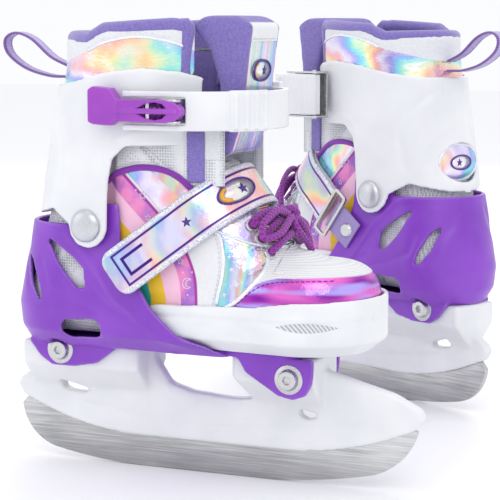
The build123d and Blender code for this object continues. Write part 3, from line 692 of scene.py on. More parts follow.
# ------------------------------------------------------------------ boot upper
# Padded boot sewn of bright printed leather, hologram foil, pale mesh and a chrome-purple toe band. The front
# part slides out with the toe shell. It is shaped by melting the sewn forms together and softening them.
def toe_puff():
    """Rounded toe of the lining, which fills the toe shell."""
    skin = bmesh.new()
    rows = []
    for level, inset in ((92, 5.5), (97, 3.6), (112, 3.6), (118, 4.6), (123, 7), (127, 11), (130, 17), (131.5, 26)):
        nose = 44 - inset
        row = [skin.verts.new((62 + nose * math.cos(turn), nose * math.sin(turn), level))
               for turn in np.linspace(-math.pi / 2, math.pi / 2, 25)]
        rear = 41.6 - inset
        row += [skin.verts.new((-4, rear, level)), skin.verts.new((-4, -rear, level))]
        rows.append(row)
    for first, second in zip(rows, rows[1:]):
        skin_between(skin, first, second)
    skin.faces.new(rows[0][::-1])
    skin.faces.new(rows[-1])
    mesh = bpy.data.meshes.new("toe_puff")
    skin.to_mesh(mesh)
    skin.free()
    return mesh


def closed_split(mesh):
    """Moves the rear faces of the vamp back a little, so that it meets the quarter."""
    low_split, step_forward, step_low, step_high = 46.4, 16, 110, 14
    closing = 1.6
    for vert in mesh.vertices:
        split = low_split + step_forward * min(1, max(0, (vert.co.z - step_low) / step_high))
        if abs(vert.co.x - split) < 0.3:
            vert.co.x -= closing
    return mesh


upper_mesh = moulded(joined(local_copy("boot_quarter"), closed_split(local_copy("boot_vamp")), toe_puff()), 1.5, 22)
upper_surface = surface_of(upper_mesh)


def hologram():
    """Node group: pastel hologram foil with soft streaks, and its fine crinkle."""
    group = bpy.data.node_groups.new("hologram", "ShaderNodeTree")
    group.interface.new_socket("Place", in_out="INPUT", socket_type="NodeSocketVector")
    group.interface.new_socket("Shift", in_out="INPUT", socket_type="NodeSocketFloat")
    group.interface.new_socket("Color", in_out="OUTPUT", socket_type="NodeSocketColor")
    group.interface.new_socket("Height", in_out="OUTPUT", socket_type="NodeSocketFloat")
    start = group.nodes.new("NodeGroupInput")
    end = group.nodes.new("NodeGroupOutput")
    place = start.outputs["Place"]
    warp = noise_at(group, place, 0.022, 2, 0.45)
    fine = noise_at(group, place, 0.09, 2, 0.5, (1, 1, 0.35))
    line = add_node(group, "ShaderNodeVectorMath", {0: place, 1: (0.021, 0.016, 0.012)}, operation="DOT_PRODUCT")
    phase = maths(group, "ADD", line.outputs["Value"], maths(group, "MULTIPLY", warp, 3.0))
    phase = maths(group, "ADD", phase, maths(group, "MULTIPLY", fine, 0.4))
    phase = maths(group, "FRACT", maths(group, "ADD", phase, start.outputs["Shift"]))
    ramp = group.nodes.new("ShaderNodeValToRGB")
    ramp.color_ramp.interpolation = "B_SPLINE"
    colours = ((0.86, 0.84, 0.9), (0.95, 0.42, 0.62), (0.98, 0.55, 0.28), (0.96, 0.88, 0.5), (0.34, 0.85, 0.68),
               (0.2, 0.62, 0.88), (0.42, 0.36, 0.86), (0.8, 0.68, 0.95), (0.86, 0.84, 0.9))
    steps = ramp.color_ramp.elements
    for index, colour in enumerate(colours):
        share = index / (len(colours) - 1)
        step = steps[0] if index == 0 else steps[-1] if index == len(colours) - 1 else steps.new(share)
        step.position = share
        step.color = (*colour, 1)
    group.links.new(phase, ramp.inputs["Fac"])
    silver = spread(group, noise_at(group, place, 0.055, 3, 0.6, (1, 1, 0.5)), 0.5, 0.68, 0, 0.75)
    group.links.new(mix_colour(group, silver, ramp.outputs["Color"], (0.86, 0.88, 0.93)), end.inputs["Color"])
    group.links.new(noise_at(group, place, 0.12, 4, 0.6), end.inputs["Height"])
    return group


HOLOGRAM = hologram()


def foil_node(tree, place, shift):
    made = add_node(tree, "ShaderNodeGroup", node_tree=HOLOGRAM)
    tree.links.new(place, made.inputs["Place"])
    made.inputs["Shift"].default_value = shift
    return made


def edge_through(tree, value, points, low=-120.0, high=200.0):
    """Edge drawn through side-view points: gives the second number of the points for each first number."""
    made = tree.nodes.new("ShaderNodeFloatCurve")
    curve = made.mapping.curves[0]
    shares = [((first - low) / (high - low), (second - low) / (high - low)) for first, second in points]
    curve.points[0].location = shares[0]
    curve.points[1].location = shares[-1]
    for share in shares[1:-1]:
        curve.points.new(*share)
    for point in curve.points:
        point.handle_type = "AUTO"
    made.mapping.update()
    tree.links.new(maths(tree, "MULTIPLY_ADD", value, 1 / (high - low), -low / (high - low)), made.inputs["Value"])
    return maths(tree, "MULTIPLY_ADD", made.outputs[0], high - low, low)


def past(tree, value, edge, soft=0.35):
    """1 where the value is past the edge, 0 before it."""
    return spread(tree, maths(tree, "SUBTRACT", value, edge), -soft, soft)


def both(tree, first, second):
    return maths(tree, "MULTIPLY", first, second)


def opposite(tree, value):
    return maths(tree, "SUBTRACT", 1.0, value)


def cells(tree, spot, scale, low, high):
    """Round holes of an open knit."""
    made = add_node(tree, "ShaderNodeTexVoronoi", {"Vector": spot, "Scale": scale, "Randomness": 0.15})
    return spread(tree, made.outputs["Distance"], low, high)


PANEL_REAR = [(108, 19), (120, 21), (132, 22), (145, 19), (153, 12)]
PANEL_FRONT = [(106, 24), (112, 33), (123, 43), (129, 45), (140, 42), (150, 36)]
BAND_TOP = [(29, 109), (33, 113), (40, 119), (50, 123.5), (66, 125), (85, 125.5), (99, 125)]
PIPING = [(-51, 176), (-42, 181), (-29, 184), (-16, 183), (-7, 179), (-1, 174), (6, 167)]
EYESTAY = [(7, 154), (20, 148), (35, 142), (46, 139.5), (58, 138)]

upper_paint, tree, shader, spot = new_material("printed_upper")
axes = add_node(tree, "ShaderNodeSeparateXYZ", {0: spot})
x_mm, z_mm = axes.outputs["X"], axes.outputs["Z"]
RAINBOW_X, RAINBOW_Z = -55, 108
arc_x = maths(tree, "SUBTRACT", x_mm, RAINBOW_X)
arc_z = maths(tree, "SUBTRACT", z_mm, RAINBOW_Z)
slant = maths(tree, "MULTIPLY", maths(tree, "ADD", arc_x, arc_z), 0.7071)
reach = maths(tree, "SQRT", maths(tree, "ADD", both(tree, arc_x, arc_x), both(tree, arc_z, arc_z)))
straight = maths(tree, "GREATER_THAN", arc_z, arc_x)
bow = maths(tree, "ADD", both(tree, straight, slant), both(tree, opposite(tree, straight), reach))
foil = foil_node(tree, spot, 0.1)
upright = add_node(tree, "ShaderNodeVectorMath", {0: spot, 1: (1.9, 1.2, 0.5)}, operation="MULTIPLY").outputs[0]
foil_two = foil_node(tree, upright, 0.3)
white_leather = mix_colour(tree, noise_at(tree, spot, 0.5, 4), (0.70, 0.71, 0.73), (0.80, 0.81, 0.83))
grey_knit = cells(tree, spot, 0.62, 0.15, 0.5)
mesh_colour = mix_colour(tree, grey_knit, (0.40, 0.41, 0.44), (0.74, 0.75, 0.77))
rib_wave = add_node(tree, "ShaderNodeTexWave", {"Vector": spot, "Scale": 0.3, "Distortion": 0.3},
                    bands_direction="Z").outputs["Fac"]
# Painted shade: the grooves between the panel's ribs are painted a little darker.
rib_colour = mix_colour(tree, rib_wave, (0.68, 0.69, 0.71), (0.78, 0.79, 0.80))
night = mix_colour(tree, noise_at(tree, spot, 0.09, 3), (0.30, 0.06, 0.42), (0.42, 0.22, 0.72))
night = mix_colour(tree, spread(tree, noise_at(tree, spot, 0.05, 3), 0.48, 0.62), night, (0.85, 0.25, 0.55))
colour = white_leather
for rim, paint in ((23.5, (0.02, 0.42, 0.36)), (31.5, (0.86, 0.55, 0.02)), (41, (0.92, 0.55, 0.72)), (51.5, night),
                   (60.6, (0.36, 0.02, 0.33)), (62.4, white_leather)):
    colour = mix_colour(tree, past(tree, bow, rim), colour, paint)
foil_patch = both(tree, past(tree, bow, 64), past(tree, z_mm, 152))
foil_patch = both(tree, foil_patch, opposite(tree, past(tree, x_mm, 12)))
colour = mix_colour(tree, foil_patch, colour, foil.outputs["Color"])
ribs_here = past(tree, x_mm, edge_through(tree, z_mm, PANEL_FRONT))
colour = mix_colour(tree, ribs_here, colour, rib_colour)
panel = both(tree, past(tree, x_mm, edge_through(tree, z_mm, PANEL_REAR)), opposite(tree, ribs_here))
panel_colour = mix_colour(tree, 0.3, foil_two.outputs["Color"], (0.22, 0.42, 0.62))
colour = mix_colour(tree, panel, colour, panel_colour)
stay = both(tree, past(tree, z_mm, edge_through(tree, x_mm, EYESTAY)), past(tree, x_mm, 6))
colour = mix_colour(tree, stay, colour, foil.outputs["Color"])
band = both(tree, opposite(tree, past(tree, z_mm, edge_through(tree, x_mm, BAND_TOP))), past(tree, x_mm, 24))
# Toe band: dark purple to magenta foil in long horizontal streaks, with lilac streaks over it that are painted
# reflections.
chrome = mix_colour(tree, spread(tree, noise_at(tree, spot, 0.03, 1, 0.4, (1, 1, 4)), 0.35, 0.62),
                    (0.27, 0.015, 0.40), (0.80, 0.16, 0.62))
chrome = mix_colour(tree, spread(tree, noise_at(tree, spot, 0.02, 1, 0.4, (1, 1, 7)), 0.55, 0.66), chrome,
                    (0.50, 0.40, 0.95))
colour = mix_colour(tree, band, colour, chrome)
knit_here = past(tree, z_mm, edge_through(tree, x_mm, [(-120, 150), (-60, 168), *PIPING, (12, 162), (40, 200)]))
knit_here = maths(tree, "MAXIMUM", knit_here, opposite(tree, past(tree, x_mm, -58)))
colour = mix_colour(tree, knit_here, colour, mesh_colour)
tree.links.new(colour, shader.inputs["Base Color"])
shiny = maths(tree, "MAXIMUM", maths(tree, "MAXIMUM", panel, stay), maths(tree, "MAXIMUM", foil_patch, band))
shiny = both(tree, shiny, opposite(tree, knit_here))
tree.links.new(maths(tree, "MULTIPLY", shiny, 0.72), shader.inputs["Metallic"])
tree.links.new(maths(tree, "MULTIPLY_ADD", shiny, -0.32, 0.5), shader.inputs["Roughness"])
weave = both(tree, knit_here, grey_knit)
ribbing = both(tree, both(tree, ribs_here, opposite(tree, band)), rib_wave)
crinkle = maths(tree, "MULTIPLY", foil.outputs["Height"], maths(tree, "MULTIPLY_ADD", shiny, 1.3, 0.15))
relief = maths(tree, "ADD", maths(tree, "ADD", weave, maths(tree, "MULTIPLY", ribbing, 0.5)), crinkle)
bump(tree, shader, relief, 0.9, 0.6)


def soft_paint(name, dark, light, roughness, scale, depth, **constants):
    """Cloth or thread: two tones of one colour in a fine weave."""
    paint, tree, shader, spot = new_material(name, Roughness=roughness, **constants)
    fibres = noise_at(tree, spot, scale, 4, 0.7)
    tree.links.new(mix_colour(tree, spread(tree, fibres, 0.3, 0.7), dark, light), shader.inputs["Base Color"])
    bump(tree, shader, fibres, depth, 0.7)
    return paint


def foil_paint(name, shift, tint=(0.86, 0.88, 0.93), share=0.0, glitter=0.0):
    """Hologram foil, plain or with glitter grains."""
    paint, tree, shader, spot = new_material(name, Metallic=0.75)
    foil = foil_node(tree, spot, shift)
    colour = mix_colour(tree, share, foil.outputs["Color"], tint)
    grains = add_node(tree, "ShaderNodeTexVoronoi", {"Vector": spot, "Scale": 1.6})
    grain_tone = add_node(tree, "ShaderNodeSeparateColor", {0: grains.outputs["Color"]}).outputs[0]
    sparkle = both(tree, grain_tone, glitter)
    colour = mix_colour(tree, sparkle, colour, (0.95, 0.96, 1.0))
    tree.links.new(colour, shader.inputs["Base Color"])
    tree.links.new(maths(tree, "MULTIPLY_ADD", sparkle, 0.25, 0.3), shader.inputs["Roughness"])
    relief = maths(tree, "ADD", foil.outputs["Height"], both(tree, grains.outputs["Distance"], glitter))
    bump(tree, shader, relief, 0.6, 0.6)
    return paint


place_piece("boot_upper", upper_mesh, upper_paint, STRETCHED, ["boot_quarter", "boot_vamp"])

purple_cord = soft_paint("piping_purple", (0.17, 0.01, 0.30), (0.27, 0.03, 0.45), 0.7, 1.4, 0.3, Sheen_Weight=0.3)
piping = [line_on(upper_surface, [(-55, 172), *PIPING[:-1], (2, 171)], end, 1.9, 1.5, 0.5) for end in (-1, 1)]
place_piece("quarter_piping", joined(*piping), purple_cord, STRETCHED, ())

silver_foil = foil_paint("trim_foil_silver", 0.8, share=0.7, glitter=0.8)
trims = []
for end in (-1, 1):
    trims.append(line_on(upper_surface, [(x, z) for z, x in PANEL_REAR], end, 1.3, 0.45, 0.2))
    trims.append(line_on(upper_surface, [(x, z) for z, x in PANEL_FRONT], end, 1.3, 0.45, 0.2))
    trims.append(line_on(upper_surface, EYESTAY, end, 0.8, 0.6, 0.3))
place_piece("panel_trims", joined(*trims), silver_foil, STRETCHED, ())

thread = soft_paint("thread_violet", (0.10, 0.01, 0.16), (0.2, 0.03, 0.3), 0.8, 3, 0.1)
seams = [dashes_on(upper_surface, [(x + 1.4, z - 1.6) for x, z in BAND_TOP[:-1]], end, 2.0, 0.9, 0.28, 0.1)
         for end in (-1, 1)]
place_piece("band_stitches", joined(*seams), thread, STRETCHED, ())
pale_thread = soft_paint("thread_pale", (0.55, 0.55, 0.6), (0.75, 0.76, 0.8), 0.7, 3, 0.1)
seams = []
for end in (-1, 1):
    seams.append(dashes_on(upper_surface, [(x - 2.2, z) for z, x in PANEL_REAR], end, 1.6, 1.0, 0.3, 0.1))
    seams.append(dashes_on(upper_surface, [(x - 2.2, z) for z, x in PANEL_FRONT[1:-1]], end, 1.6, 1.0, 0.3, 0.1))
    seams.append(dashes_on(upper_surface, [(x, z - 2.0) for x, z in EYESTAY], end, 1.8, 1.0, 0.28, 0.1))
    seams.append(dashes_on(upper_surface, [(x, z + 3.2) for x, z in PIPING[:-1]], end, 1.8, 1.0, 0.28, 0.1))
place_piece("pale_stitches", joined(*seams), pale_thread, STRETCHED, ())


def star_outline(size, turn=0.0, inner=0.42):
    return [(size * (1 if step % 2 == 0 else inner) * math.sin(turn + math.pi * step / 5),
             size * (1 if step % 2 == 0 else inner) * math.cos(turn + math.pi * step / 5)) for step in range(10)]


def plate(place_at, outline, lift, thick):
    """Thin plate of an outline, laid with a function that gives each point's place."""
    skin = bmesh.new()
    top = [skin.verts.new(place_at(u, v, lift + thick)) for u, v in outline]
    bottom = [skin.verts.new(place_at(u, v, lift - 0.4)) for u, v in outline]
    centre = skin.verts.new(place_at(sum(u for u, _ in outline) / len(outline),
                                     sum(v for _, v in outline) / len(outline), lift + thick))
    for index in range(len(outline)):
        after = (index + 1) % len(outline)
        skin.faces.new((centre, top[index], top[after]))
        skin.faces.new((top[index], bottom[index], bottom[after], top[after]))
    return mesh_of(skin, "plate")


def star_on(middle, size, end, thick, turn=0.0):
    """Printed star on the side of the upper."""
    cx, cz = middle
    return plate(lambda u, v, lift: on_side(upper_surface, cx + u, cz + v, end, lift),
                 star_outline(size, turn), 0.05, thick)


def ring_on(surface, middle, outline, end, radius, lift=0.1):
    """Outline of a small figure, drawn on a surface."""
    cx, cz = middle
    path = [on_side(surface, cx + dx, cz + dz, end, lift) for dx, dz in outline]
    return swept(path, round_section(radius, radius, 6), closed=True)


pale_stars, line_stars = [], []
NIGHT_RADIUS = 56.5
moon = [(3 * math.cos(turn), 3 * math.sin(turn)) for turn in np.linspace(0.7, 2 * math.pi - 0.7, 14)]
moon += [(1.1 + 2.1 * math.cos(turn), 2.1 * math.sin(turn)) for turn in np.linspace(2 * math.pi - 1.1, 1.1, 10)]
for end in (-1, 1):
    for place, size in (((27, 141), 2.6), ((33, 134), 2.3), ((27, 128), 1.7), ((38, 127), 2.6), ((31, 120), 2.4),
                        ((24, 114), 1.8), ((36, 140), 1.5), ((25, 135), 1.4)):
        pale_stars.append(star_on(place, size, end, 0.12))
    for angle, size in ((36, 2.6), (57, 2.0)):
        turn = math.radians(angle)
        place = (RAINBOW_X + NIGHT_RADIUS * math.cos(turn), RAINBOW_Z + NIGHT_RADIUS * math.sin(turn))
        line_stars.append(ring_on(upper_surface, place, star_outline(size), end, 0.28))
    line_stars.append(ring_on(upper_surface, (-27.5, 168), star_outline(2.6), end, 0.28))
    line_stars.append(ring_on(upper_surface, (-4, 131.5), star_outline(2.2), end, 0.26))
    line_stars.append(ring_on(upper_surface, (0.4, 119), moon, end, 0.28))
    for place in ((1, 112.5), (3.2, 125.5), (-2.5, 125), (-12, 142), (-20, 152), (-32, 171)):
        pale_stars.append(star_on(place, 0.8, end, 0.1, 0.3))
star_print = soft_paint("print_pale", (0.62, 0.60, 0.78), (0.85, 0.83, 0.95), 0.4, 0.5, 0.05)
place_piece("pale_stars", joined(*pale_stars), star_print, STRETCHED, ())
place_piece("outline_stars", joined(*line_stars), star_print, STRETCHED, ())


# ------------------------------------------------------------------ instep strap
# Doubled webbing faced with hologram foil: bound in glitter tape, printed with two purple lines, a double
# chevron at the free end, a star and a plain oval badge. It turns back through a ring on the inner side.
SLOPE = math.radians(52.7)
DOWN_SLOPE = Vector((math.cos(SLOPE), 0, -math.sin(SLOPE)))
OFF_SLOPE = Vector((math.sin(SLOPE), 0, math.cos(SLOPE)))
CREST = Vector((29, 0, 175))
INSTEP_HALF, INSTEP_RISE, INSTEP_SHOULDER = 36.5, 34.4, 40
SIDE_FLARE = 0.17


def strap_path(outset, outer_end, ring_end):
    """Line across the instep, from the free end over the crest to the ring, lifted off the boot."""
    half, rise = INSTEP_HALF + outset, INSTEP_RISE + outset
    spots = [(-half - SIDE_FLARE * (depth - INSTEP_SHOULDER), depth)
             for depth in np.linspace(outer_end, INSTEP_SHOULDER, 20, endpoint=False)]
    spots += [(-half * math.cos(turn), INSTEP_SHOULDER - rise * math.sin(turn))
              for turn in np.linspace(0, math.pi, 50)]
    spots += [(half + SIDE_FLARE * (depth - INSTEP_SHOULDER), depth)
              for depth in np.linspace(INSTEP_SHOULDER, ring_end, 8)[1:]]
    return np.array([CREST + Vector((0, across, 0)) - OFF_SLOPE * depth for across, depth in spots])


def rounded_end(path, radius, half):
    """Narrowing of a band at its first end, for round corners."""
    lengths = np.concatenate([[0], np.cumsum(np.linalg.norm(np.diff(path, axis=0), axis=1))])
    reach = np.clip(radius - lengths, 0, radius * 0.999)
    return (half - radius + np.sqrt(radius ** 2 - reach ** 2)) / half


def finer_start(path):
    """The path with more points in its first few steps."""
    return np.vstack([smooth_path(path[:4], 0.4), path[4:]])


strap_paint, tree, shader, spot = new_material("instep_strap_foil")
band_place = add_node(tree, "ShaderNodeAttribute", attribute_name="band_mm").outputs["Vector"]
band_axes = add_node(tree, "ShaderNodeSeparateXYZ", {0: band_place})
along, across = band_axes.outputs["X"], maths(tree, "ABSOLUTE", band_axes.outputs["Y"])
foil = foil_node(tree, spot, 0.12)
warm = mix_colour(tree, spread(tree, noise_at(tree, spot, 0.04, 2), 0.45, 0.6), (0.95, 0.50, 0.36),
                  (0.55, 0.55, 0.90))
colour = mix_colour(tree, 0.4, foil.outputs["Color"], warm)
grains = add_node(tree, "ShaderNodeTexVoronoi", {"Vector": spot, "Scale": 1.5})
sparkle = add_node(tree, "ShaderNodeSeparateColor", {0: grains.outputs["Color"]}).outputs[0]
glitter = mix_colour(tree, sparkle, (0.5, 0.52, 0.62), (0.92, 0.93, 0.97))
binding = past(tree, across, 11.2, 0.2)
colour = mix_colour(tree, binding, colour, glitter)
hook = maths(tree, "MAXIMUM", across, maths(tree, "SUBTRACT", 17.0, along))
outer_line = both(tree, past(tree, hook, 8.9, 0.15), opposite(tree, past(tree, hook, 10.3, 0.15)))
inner_line = both(tree, past(tree, hook, 4.2, 0.15), opposite(tree, past(tree, hook, 6.0, 0.15)))
inner_line = both(tree, inner_line, opposite(tree, past(tree, along, 27, 0.3)))
colour = mix_colour(tree, maths(tree, "MAXIMUM", outer_line, inner_line), colour, (0.055, 0.012, 0.23))
tree.links.new(colour, shader.inputs["Base Color"])
tree.links.new(maths(tree, "MULTIPLY_ADD", outer_line, -0.5, 0.7), shader.inputs["Metallic"])
tree.links.new(maths(tree, "MULTIPLY_ADD", binding, 0.2, 0.22), shader.inputs["Roughness"])
relief = maths(tree, "ADD", foil.outputs["Height"], both(tree, binding, grains.outputs["Distance"]))
bump(tree, shader, relief, 0.7, 0.6)

top_path = finer_start(strap_path(4.5, 89, 61))
top_band = swept(top_path, flat_section(28, 2.2, 8), -DOWN_SLOPE, narrow=rounded_end(top_path, 7, 14))
place_piece("instep_strap", top_band, strap_paint, "instep_strap_body", ["instep_strap"])
webbing = soft_paint("strap_lining", (0.5, 0.5, 0.54), (0.66, 0.66, 0.7), 0.8, 2, 0.2)
low_path = finer_start(strap_path(1.7, 86.5, 61))
low_band = swept(low_path, flat_section(27, 2.2, 6), -DOWN_SLOPE, narrow=rounded_end(low_path, 6, 13.5))
place_piece("strap_lining", low_band, webbing, "instep_strap_body", ())

face_path = strap_path(5.6, 89, 61)
raised_path = strap_path(6.6, 89, 61)
face_lengths = np.concatenate([[0], np.cumsum(np.linalg.norm(np.diff(face_path, axis=0), axis=1))])


def on_strap(reach, aside, lift):
    """Point on the strap's face: its way from the free end, aside up the slope, and lifted."""
    spot = [np.interp(reach, face_lengths, face_path[:, axis]) for axis in range(3)]
    raised = [np.interp(reach, face_lengths, raised_path[:, axis]) for axis in range(3)]
    return Vector(spot) + (Vector(raised) - Vector(spot)) * lift - DOWN_SLOPE * aside


def oval(long, high, count=28):
    return [(long * math.cos(2 * math.pi * step / count), high * math.sin(2 * math.pi * step / count))
            for step in range(count)]


ink = soft_paint("print_indigo", (0.05, 0.012, 0.2), (0.08, 0.02, 0.3), 0.4, 0.5, 0.03)
amber = soft_paint("print_amber", (0.75, 0.34, 0.02), (0.85, 0.42, 0.04), 0.35, 0.5, 0.03)
badge_silver = foil_paint("badge_silver", 0.35, share=0.72)
strap_star = plate(lambda u, v, lift: on_strap(56 + u, v, lift), star_outline(3.2, 0.5), 0, 0.2)


def rim_round(place_at, long, high, lift, wide=0.7, thick=0.5, count=40):
    """Raised rim of an oval badge."""
    return swept([place_at(u, v, lift) for u, v in oval(long, high, count)], round_section(wide, thick, 8),
                 closed=True)


def badge_bow(place_at, long, high, lift, wide):
    """Amber arc at the left of an oval badge."""
    return swept([place_at(-4 - long * math.cos(turn), high * math.sin(turn), lift)
                  for turn in np.linspace(-1.2, 1.2, 14)], round_section(wide, 0.35, 8))


def on_badge(across, up, lift):
    """Point on the strap, from the middle of its badge."""
    return on_strap(92 + across, up, lift)


badge_face = plate(on_badge, oval(14, 6.6), 0, 0.6)
badge_rim = rim_round(on_badge, 14, 6.6, 0.7)
badge_star = plate(lambda u, v, lift: on_badge(4 + u, v - 0.4, lift), star_outline(3.4, 0.2), 0.6, 0.25)
badge_arc = badge_bow(on_badge, 7.5, 4.6, 0.75, 1.3)
place_piece("strap_star", joined(strap_star, badge_rim, badge_star), ink, "instep_strap_body", ())
place_piece("strap_badge", badge_face, badge_silver, "instep_strap_body", ())
place_piece("strap_badge_arc", badge_arc, amber, "instep_strap_body", ())

# ------------------------------------------------------------------ strap ring, tab and rivet
# A plated wire ring on a short webbing tab, riveted to the inner side.
place_piece("strap_ring", moulded(local_copy("strap_ring"), 0.5, 4), metal_paint, "base", ["strap_ring"])
tab_cloth = soft_paint("tab_webbing", (0.30, 0.22, 0.50), (0.42, 0.34, 0.62), 0.8, 1.6, 0.3)
place_piece("ring_tab", moulded(local_copy("ring_tab"), 0.5, 3), tab_cloth, "base", ["ring_tab"])
metal_piece("tab_rivet", "base", METAL_EDGE)


# ------------------------------------------------------------------ laces and eyelets
# Round braided laces, magenta-purple, through plated eyelets on the front of the quarter, tied in a bow.
def on_instep(along, across, lift):
    """Point over the instep: down its slope from the strap's middle, across it, and lifted off it."""
    depth = INSTEP_RISE * math.sqrt(1 - (across / INSTEP_HALF) ** 2)
    normal = Vector((0, across / INSTEP_HALF ** 2, 0)) + OFF_SLOPE * (depth / INSTEP_RISE ** 2)
    point = CREST + Vector((0, across, 0)) + DOWN_SLOPE * along + OFF_SLOPE * (depth - INSTEP_SHOULDER)
    return point + normal.normalized() * lift


metal_piece("eyelets", "base", METAL_EDGE)

EYELET_ROWS = (21, 30.5, 40)
lace_lines = []
for upper, lower in zip(EYELET_ROWS, EYELET_ROWS[1:]):
    for end in (-1, 1):
        rise = 3.2 if end < 0 else 6.0
        lace_lines.append([(upper, end * 20, -2), (upper + 0.5, end * 18.5, 2.2), (upper + 3, end * 9, rise - 0.8),
                           ((upper + lower) / 2, 0, rise), (lower - 3, -end * 9, rise - 0.8),
                           (lower - 0.5, -end * 18.5, 2.2), (lower, -end * 20, -2)])
lace_lines.append([(21, -20, -2), (19, -18, 2.6), (18.6, -8, 5.5), (22, 0, 7.5), (25, 4, 9)])
lace_lines.append([(21, 20, -2), (19, 18, 2.6), (18.8, 9, 5.2), (22, 2, 9.0), (26, -1, 10)])
lace_lines.append([(25, 3, 9), (22, 14, 12), (25, 27, 11), (33, 33, 8), (38, 28, 9), (34, 15, 11), (27, 4, 10)])
lace_lines.append([(26, -1, 10), (22, -9, 11), (25, -19, 9), (32, -22, 7.5), (34, -14, 9), (28, -2, 11)])
lace_lines.append([(26, 2, 10), (33, 7, 10.5), (42, 15, 8), (48, 22, 5.5), (51, 27, 4)])
lace_lines.append([(27, 0, 10), (35, -2, 10), (43, 4, 7.5), (49, 9, 6)])
lace_lines.append([(22, -2, 8), (24, 2, 12.5), (28, 4, 12), (30, 1, 9)])
lace_meshes = [swept(smooth_path([on_instep(*place) for place in line], 1.2), round_section(2.2, 1.7, 12))
               for line in lace_lines]
lace_paint, tree, shader, spot = new_material("lace_braid", Roughness=0.62, Sheen_Weight=0.25)
band_place = add_node(tree, "ShaderNodeAttribute", attribute_name="band_mm").outputs["Vector"]
band_axes = add_node(tree, "ShaderNodeSeparateXYZ", {0: band_place})
strands = []
for lean in (1.7, -1.7):
    advance = maths(tree, "MULTIPLY", band_axes.outputs["X"], 2.6)
    phase = maths(tree, "MULTIPLY_ADD", band_axes.outputs["Y"], lean, advance)
    strands.append(maths(tree, "SINE", phase))
braid = maths(tree, "MAXIMUM", strands[0], strands[1])
# Painted shade: the lace is painted darker between the braid's strands and lighter on their crests.
tree.links.new(mix_colour(tree, spread(tree, braid, -0.6, 1), (0.19, 0.01, 0.24), (0.33, 0.025, 0.40)),
               shader.inputs["Base Color"])
bump(tree, shader, braid, 0.5, 0.8)
place_piece("laces", joined(*lace_meshes), lace_paint, "base", ["laces"])


# ------------------------------------------------------------------ tongue
# Padded tongue with a lilac fleece edge, a white top band and a hologram face with upright streaks.
def with_lining(mesh, middle_x, upright=False):
    """Remembers which part of a padded piece faces the leg."""
    kept = mesh.attributes.new("lining", "FLOAT", "POINT")
    for index, vert in enumerate(mesh.vertices):
        out = Vector((vert.co.x - middle_x, 0 if upright else vert.co.y, 0)).normalized()
        kept.data[index].value = 1.0 if vert.normal.dot(out) < -0.25 else 0.0
    return mesh


def fleece_colour(tree, spot):
    return mix_colour(tree, spread(tree, noise_at(tree, spot, 0.9, 4, 0.7), 0.3, 0.7), (0.15, 0.11, 0.38),
                      (0.27, 0.21, 0.56))


tongue_paint, tree, shader, spot = new_material("tongue_cloth", Sheen_Weight=0.2)
axes = add_node(tree, "ShaderNodeSeparateXYZ", {0: spot})
height = axes.outputs["Z"]
streaks = add_node(tree, "ShaderNodeVectorMath", {0: spot, 1: (0.3, 2.4, 0.12)}, operation="MULTIPLY").outputs[0]
foil = foil_node(tree, streaks, 0.5)
face = mix_colour(tree, 0.25, foil.outputs["Color"], (0.35, 0.38, 0.75))
leather = mix_colour(tree, noise_at(tree, spot, 0.5, 4), (0.68, 0.69, 0.72), (0.80, 0.81, 0.83))
top_band_here = past(tree, height, 256)
colour = mix_colour(tree, top_band_here, face, leather)
lining = add_node(tree, "ShaderNodeAttribute", attribute_name="lining").outputs["Fac"]
edge = past(tree, maths(tree, "ABSOLUTE", axes.outputs["Y"]), 19.2)
fleece = maths(tree, "MAXIMUM", maths(tree, "MAXIMUM", lining, edge), past(tree, height, 266.2))
colour = mix_colour(tree, fleece, colour, fleece_colour(tree, spot))
tree.links.new(colour, shader.inputs["Base Color"])
shiny = both(tree, opposite(tree, fleece), opposite(tree, top_band_here))
tree.links.new(maths(tree, "MULTIPLY", shiny, 0.8), shader.inputs["Metallic"])
tree.links.new(maths(tree, "MULTIPLY_ADD", shiny, -0.55, 0.75), shader.inputs["Roughness"])
relief = maths(tree, "ADD", maths(tree, "MULTIPLY", foil.outputs["Height"], 0.6),
               maths(tree, "MULTIPLY", fleece, noise_at(tree, spot, 1.1, 4, 0.7)))
bump(tree, shader, relief, 0.9, 0.7)
tongue_mesh = with_lining(moulded(local_copy("tongue"), 1.6, 26), -60, True)
tongue_surface = surface_of(tongue_mesh)
for piece in place_piece("tongue", tongue_mesh, tongue_paint, "base", ["tongue"]):
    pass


def on_front(surface, across, height, lift):
    """Point on the front of a surface."""
    hit, normal, _, _ = surface.ray_cast(Vector((200, across, height)), Vector((-1, 0, 0)))
    if normal.x < 0:
        normal = -normal
    return hit + normal * lift


def on_tongue_badge(across, up, lift):
    """Point on the tongue, from the middle of its badge."""
    return on_front(tongue_surface, across, 239 + up, lift)


tongue_badge = plate(on_tongue_badge, oval(12, 6), 0, 0.7)
tongue_rim = rim_round(on_tongue_badge, 12, 6, 0.8)
tongue_star = plate(lambda u, v, lift: on_tongue_badge(3 + u, v, lift), star_outline(3.2), 0.7, 0.25)
tongue_arc = badge_bow(on_tongue_badge, 6, 4, 0.8, 1.2)
place_piece("tongue_badge", tongue_badge, badge_silver, "base", ())
place_piece("tongue_badge_rim", joined(tongue_rim, tongue_star), ink, "base", ())
place_piece("tongue_badge_arc", tongue_arc, amber, "base", ())
tongue_seam = []
for offset in (0, 1.6):
    seam_path = [on_front(tongue_surface, across, 256 + offset, 0.1) for across in np.linspace(-18, 18, 24)]
    tongue_seam.append(swept(seam_path, round_section(0.6, 0.4, 6)))
place_piece("tongue_seam", joined(*tongue_seam), silver_foil, "base", ())

